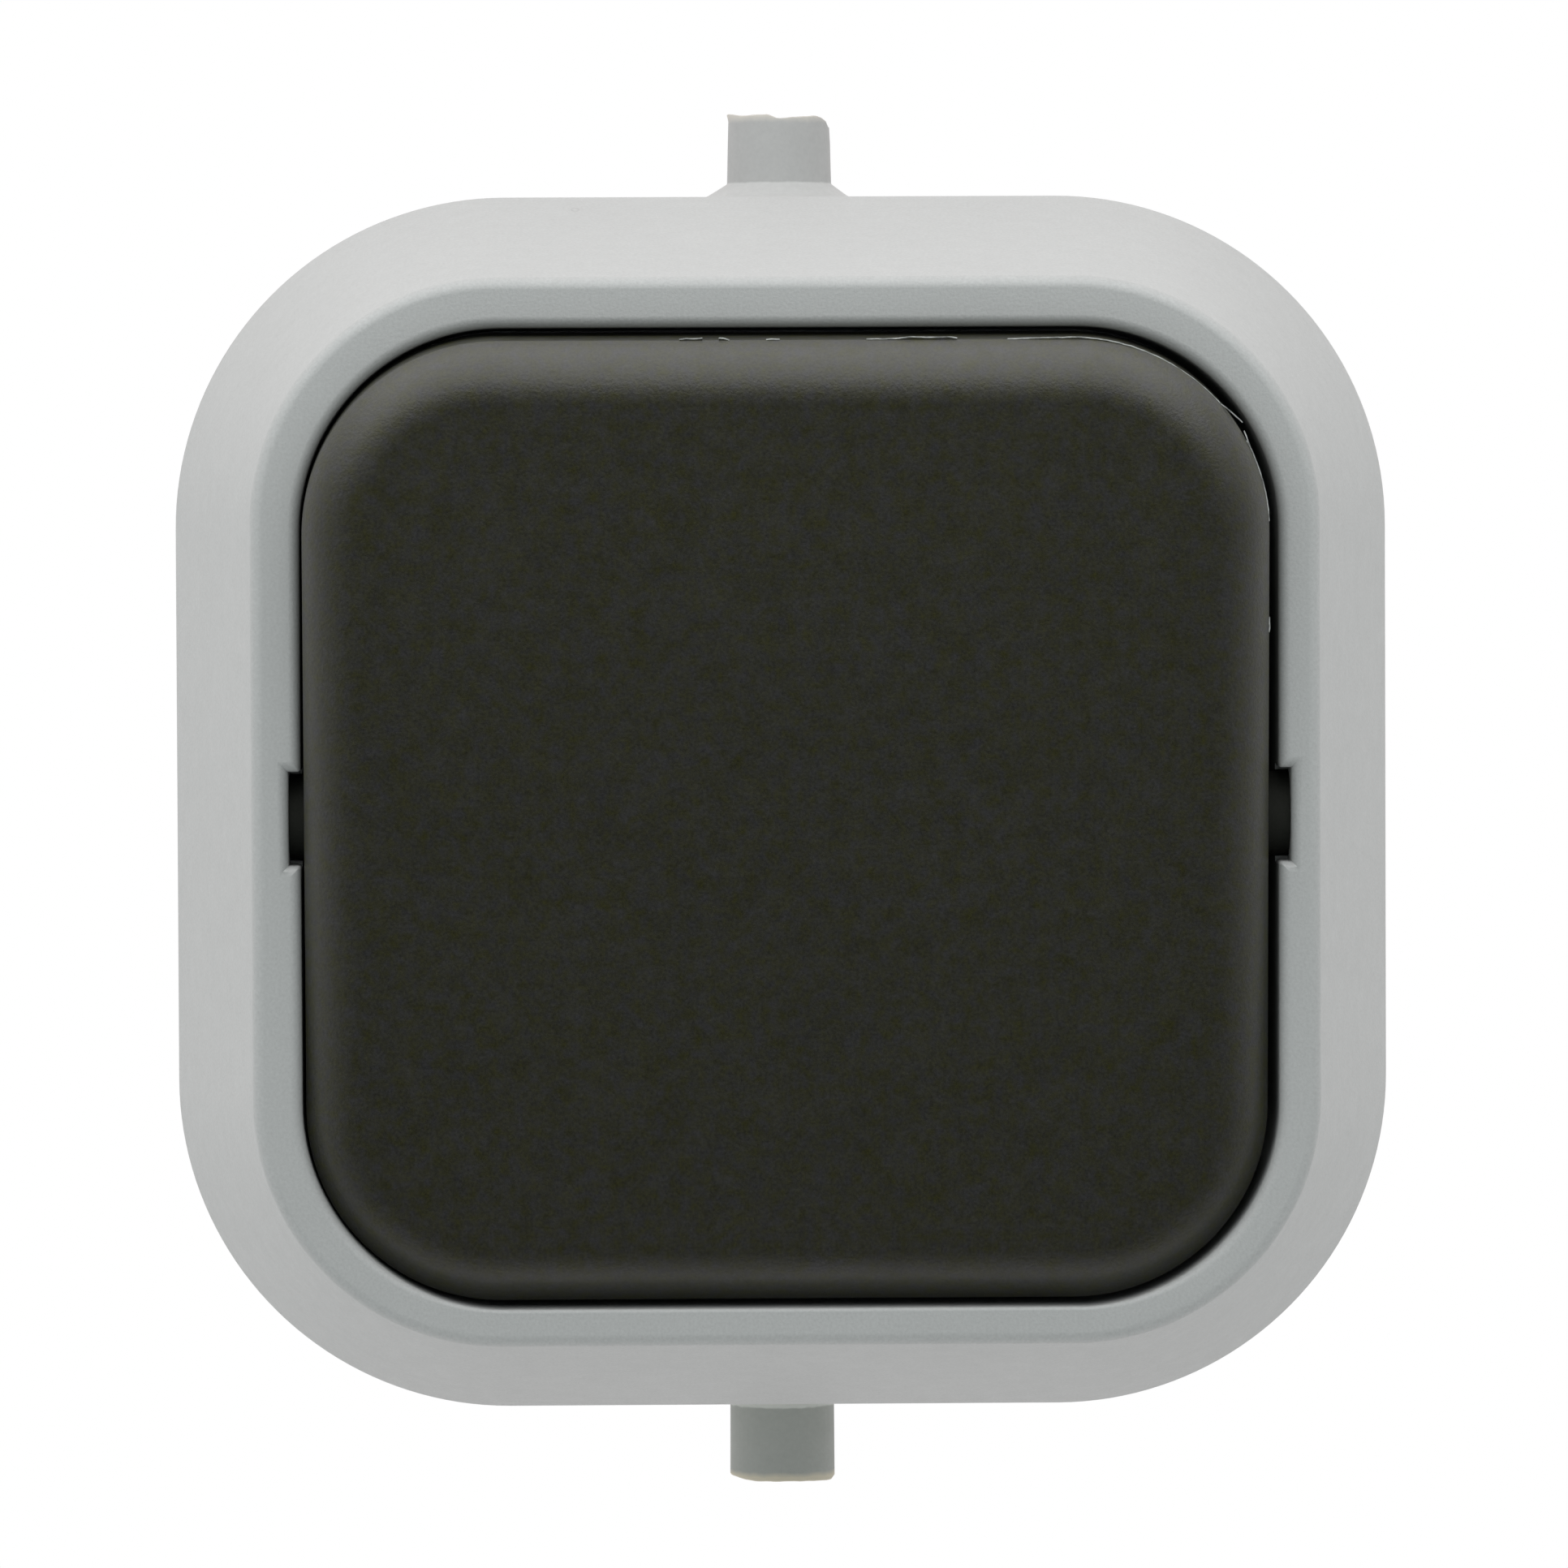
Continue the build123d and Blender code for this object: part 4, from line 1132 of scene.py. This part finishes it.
film = bmesh.new()
for line in FLASH_LINES:
    ribbon(film, [(length, out - FLASH_EDGE) for length, out in line], FLASH_FOOT)
whitened = bmesh.new()
for line in FLASH_LINES + SLIVER_LINES:
    ribbon(whitened, line, None)
flash_white = plastic("flash_white", srgb(186, 189, 186), pit=0.1, depth=0.2, spread=1.4, cloud=0.5)[0]
for name, shape, material in (
    ("flash_film", film, finishes["rocker_grey"]),
    ("flash_edge", whitened, flash_white),
):
    piece = new_object(name, shape)
    piece.data.transform(at_rest)
    finish_piece(piece, material, "rocker", "rocker_grey")

# %% [markdown]
# ## The cable nozzles
#
# Each nozzle is one soft lathe-turned grommet: a flange inside the box, a groove on the wall, a
# flared collar outside and a slim tube closed by a membrane. The upper one was torn when its tip was
# pulled off, and the lower one is worn. So a turned tip is pressed down to a line and roughened by a
# little noise. Cutting it with a Boolean would leave a flat face; pressing keeps the soft edge. Each
# tube also leans a little to the right. Sizes are radii, and heights from the switch's middle.

# %% Nozzle sizes
ENTRY_DEPTH = 10.0
FLANGE_RADIUS = 5.0
FLANGE_BACK = 28.65
FLANGE_FACE = 30.15
NECK_RADIUS = 3.45
COLLAR_FACE = 32.75
COLLAR_RADIUS = 5.1
COLLAR_EDGE = 0.25
FLARE = (4.0, 33.3)
FLARE_ROUND = 2.0
NOZZLE_FOOT = (2.9, 34.04)
NOZZLE_EDGE = 0.15
SWAY_RISE = [(COLLAR_FACE, 0.0), (NOZZLE_FOOT[1], 1.0)]
BORE_RADIUS = 2.1
MEMBRANE = 0.9
TIP_EDGE = 0.1
TIP_STEPS = 12
TIP_START = 36.4
RAGGED = 0.025
RAGGED_WAVES = 2.2
nozzle_end = -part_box("bottom_cable_grommet")[0].z / MM
torn_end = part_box("top_cable_grommet")[1].z / MM
print("nozzles end at", round(torn_end, 2), "and", round(nozzle_end, 2), "mm from the middle")


# %% Nozzle shape
def nozzle_profile(tip_radius):
    """Profile from the membrane's inner side, round the flange and up the tube to its end."""
    foot_radius, foot = NOZZLE_FOOT
    bore_end = nozzle_end - MEMBRANE
    line = [
        ((TINY, bore_end), 0),
        ((BORE_RADIUS, bore_end), 0),
        ((BORE_RADIUS, FLANGE_BACK), 0),
        ((FLANGE_RADIUS, FLANGE_BACK), 0),
        ((FLANGE_RADIUS, FLANGE_FACE), 0),
        ((NECK_RADIUS, FLANGE_FACE), 0),
        ((NECK_RADIUS, COLLAR_FACE), 0),
        ((COLLAR_RADIUS, COLLAR_FACE), 0),
        ((COLLAR_RADIUS, COLLAR_FACE + COLLAR_EDGE), 0),
        (FLARE, FLARE_ROUND),
        (NOZZLE_FOOT, NOZZLE_EDGE),
    ]
    for step in range(TIP_STEPS):
        height = TIP_START + (nozzle_end - TIP_EDGE - TIP_START) * step / TIP_STEPS
        radius = foot_radius + (tip_radius - foot_radius) * (height - foot) / (nozzle_end - foot)
        line.append(((radius, height), 0))
    line.append(((tip_radius, nozzle_end), TIP_EDGE))
    for step in range(1, TIP_STEPS):
        line.append((((tip_radius - TIP_EDGE) * (1 - step / TIP_STEPS), nozzle_end), 0))
    return rounded(*zip(*line))


def grommet(name, up, tip_radius, sway, level, tear, slant=0.0):
    """A turned nozzle that leans aside; its tip is pressed to a ragged line and may slant in front."""
    piece = turned(name, nozzle_profile(tip_radius), (0, -ENTRY_DEPTH, 0), (0, 0, up))
    for vertex in piece.data.vertices:
        height = up * vertex.co.z / MM
        if height > TIP_START:
            rough = RAGGED * (noise.noise(vertex.co / MM * RAGGED_WAVES) - 1.0)
            front = min(vertex.co.y / MM + ENTRY_DEPTH, 0.0)
            limit = level + between(tear, vertex.co.x / MM) + front * slant + rough
            share = (height - TIP_START) / (nozzle_end - TIP_START)
            vertex.co.z = up * MM * (TIP_START + share * (limit - TIP_START))
        vertex.co.x += MM * sway * between(SWAY_RISE, height)
    return piece


print("nozzle: points on its profile", len(nozzle_profile(NOZZLE_FOOT[0])))

# %% [markdown]
# ### The two tips
#
# Each line gives the height of the tip, measured from the nozzle's end, at distances to the right of
# its middle. The upper tip has a dip in the middle and a low right corner, and its left corner was
# pulled outward into a spur. The lower tip is worn at its corners and a little shorter at the front.

# %% Torn and worn tips
TORN_LINE = [
    (-2.75, 0.0), (-2.5, -0.06), (-2.17, -0.16), (-1.33, -0.13), (-0.66, -0.12), (-0.12, -0.34),
    (0.5, -0.3), (1.2, -0.23), (2.0, -0.18), (2.35, -0.27), (2.6, -0.45), (2.75, -0.75),
]
WORN_LINE = [
    (-2.9, -0.34), (-2.6, -0.22), (-2.1, -0.09), (-1.5, 0.0), (2.4, 0.0), (2.7, -0.06), (2.86, -0.22),
]
UPPER_RADIUS = 2.8
UPPER_SWAY = 0.18
LOWER_RADIUS = 2.92
LOWER_SWAY = 0.07
LOWER_SLANT = 0.075
SPUR_FROM = 2.2
SPUR_FADE = 0.5
SPUR_HEIGHT = 0.45
SPUR_LEAN = 0.14


def bend_spur(piece):
    """Bend the torn tip's left corner outward."""
    foot = torn_end - SPUR_HEIGHT
    for vertex in piece.data.vertices:
        across = min(max(-vertex.co.x / MM - SPUR_FROM, 0.0) / SPUR_FADE, 1.0)
        rise = max(vertex.co.z / MM - foot, 0.0) / SPUR_HEIGHT
        vertex.co.x -= MM * SPUR_LEAN * across * rise


upper_nozzle = grommet("upper_nozzle", 1, UPPER_RADIUS, UPPER_SWAY, torn_end, TORN_LINE)
bend_spur(upper_nozzle)
lower_nozzle = grommet("lower_nozzle", -1, LOWER_RADIUS, LOWER_SWAY, nozzle_end, WORN_LINE, LOWER_SLANT)
print("nozzles:", upper_nozzle.name, lower_nozzle.name)

# %% [markdown]
# ### Soft plastic with painted light and shade
#
# The tube is soft grey, and the lower nozzle's grey is darker: painted shade from the cover above it.
# The collar is lightened as painted light, more so below, and the tip gets a cream glow painted where
# light would shine through the thin plastic. Two tip bands do this: one ends at the tube's foot and
# darkens all above it against the lightened collar, the other colours the tip.

# %% Nozzle finishes
SOFT_GRAIN = {"spread": 0.03, "cloud": 1.5, "speck": 0.15}
FOOT_FADE = 0.15
UPPER_GREY = srgb(185, 186, 185)
# Painted glow: the cream tip colours, here and below, stand for light shining through the thin tips.
UPPER_TIP_GLOW = srgb(216, 212, 204)
# Painted light: the collar is lightened by this share, here and below.
UPPER_COLLAR_LIGHT = 0.18
UPPER_BAND = 0.6
# Painted shade: the lower nozzle's grey is darker because the cover above shades it.
LOWER_SHADED_GREY = srgb(173, 176, 171)
LOWER_TIP_GLOW = srgb(218, 211, 191)
LOWER_COLLAR_LIGHT = 0.42
LOWER_BAND = 0.5
lower_end = nozzle_end - LOWER_SLANT * LOWER_RADIUS


def nozzle_finish(name, grey, pale, tip_glow, tip, band):
    """Soft plastic with painted light: a lighter collar and a cream glow painted at the tip."""
    material, tree, shader, colour = plastic(name, grey, **SOFT, **SOFT_GRAIN)
    tube_values = {"Tip": NOZZLE_FOOT[1] + FOOT_FADE, "Band": FOOT_FADE}
    tube = use_group(tree, "tip_band", tube_values).outputs["Mask"]
    # Painted light: the collar below the tube's foot is lightened, more on the lower nozzle.
    value = work(tree, "MULTIPLY_ADD", tube, -pale, 1.0 + pale)
    lit = brightened(tree, colour, value)
    # Painted glow: the tip band mixes in a cream colour that stands for light through the thin plastic.
    mask = use_group(tree, "tip_band", {"Tip": tip, "Band": band}).outputs["Mask"]
    # A Mix node numbers its two colours 6 and 7 and its mixed colour 2.
    glowing_tip = add(tree, "ShaderNodeMix", {0: mask, 6: lit, 7: tip_glow}, data_type="RGBA")
    set_inputs(tree, shader, {"Base Color": glowing_tip.outputs[2]})
    return material


upper_soft = nozzle_finish("upper_nozzle_soft", UPPER_GREY, UPPER_COLLAR_LIGHT, UPPER_TIP_GLOW, torn_end, UPPER_BAND)
lower_soft = nozzle_finish("lower_nozzle_soft", LOWER_SHADED_GREY, LOWER_COLLAR_LIGHT, LOWER_TIP_GLOW, lower_end, LOWER_BAND)
finish_piece(upper_nozzle, upper_soft, "housing", "grommet_soft", "top_cable_grommet")
finish_piece(lower_nozzle, lower_soft, "housing", "grommet_soft", "bottom_cable_grommet")

# %% [markdown]
# ## The base box
#
# The box behind the cover is right as it was built, but its curved faces arrive as separate patches
# whose light doesn't quite join. A copy with the seams welded, and with the triangles of flat faces
# joined again, shades as one surface.

# %% Base box
WELD = 0.001
FLAT_ANGLE = radians(0.3)


def welded_copy(name, node):
    shape = bmesh.new()
    shape.from_mesh(frame["nodes"][node].data)
    bmesh.ops.scale(shape, vec=(1 / MM, 1 / MM, 1 / MM), verts=shape.verts)
    bmesh.ops.remove_doubles(shape, verts=shape.verts, dist=WELD)
    bmesh.ops.dissolve_limit(shape, angle_limit=FLAT_ANGLE, verts=shape.verts, edges=shape.edges)
    return new_object(name, shape)


base_shell = welded_copy("base_shell", "base_box")
finish_piece(base_shell, finishes["housing_grey"], "housing", "housing_grey", "base_box")

# %% [markdown]
# ## The floor
#
# The picture shows no floor, only white. A pale floor still belongs here, because it throws a little
# light back and holds the object's shadow in other views. It is a round sheet well below the switch,
# and it fades out towards its edge, so that no horizon crosses the picture.

# %% Floor
FLOOR_COLOUR = srgb(236, 236, 236)
FLOOR_SPREAD = 0.01
FLOOR_CLOUD = 40.0
FLOOR_ROUGHNESS = 0.9
FLOOR_RADIUS = 160.0 * MM
FLOOR_FADE = 60.0 * MM
FLOOR_Z = -110.0 * MM


def floor_finish():
    material, tree, shader = new_material("pale_floor")
    base = drifted(tree, FLOOR_COLOUR, FLOOR_SPREAD, FLOOR_CLOUD)
    reach = add(tree, "ShaderNodeVectorMath", {0: object_place(tree)}, operation="LENGTH").outputs["Value"]
    fade = {"Value": reach, "From Min": FLOOR_FADE, "From Max": FLOOR_RADIUS, "To Min": 1.0, "To Max": 0.0}
    alpha = add(tree, "ShaderNodeMapRange", fade).outputs[0]
    set_inputs(tree, shader, {"Base Color": base, "Roughness": FLOOR_ROUGHNESS, "Alpha": alpha})
    return material


def make_floor():
    shape = bmesh.new()
    bmesh.ops.create_circle(shape, cap_ends=True, segments=LATHE_STEPS, radius=FLOOR_RADIUS)
    mesh = bpy.data.meshes.new("pale_floor")
    shape.to_mesh(mesh)
    shape.free()
    floor = bpy.data.objects.new("pale_floor", mesh)
    floor.location.z = FLOOR_Z
    scene.collection.objects.link(floor)
    dress(floor, floor_finish())
    return floor


floor = make_floor()
print("floor at", FLOOR_Z / MM, "mm")
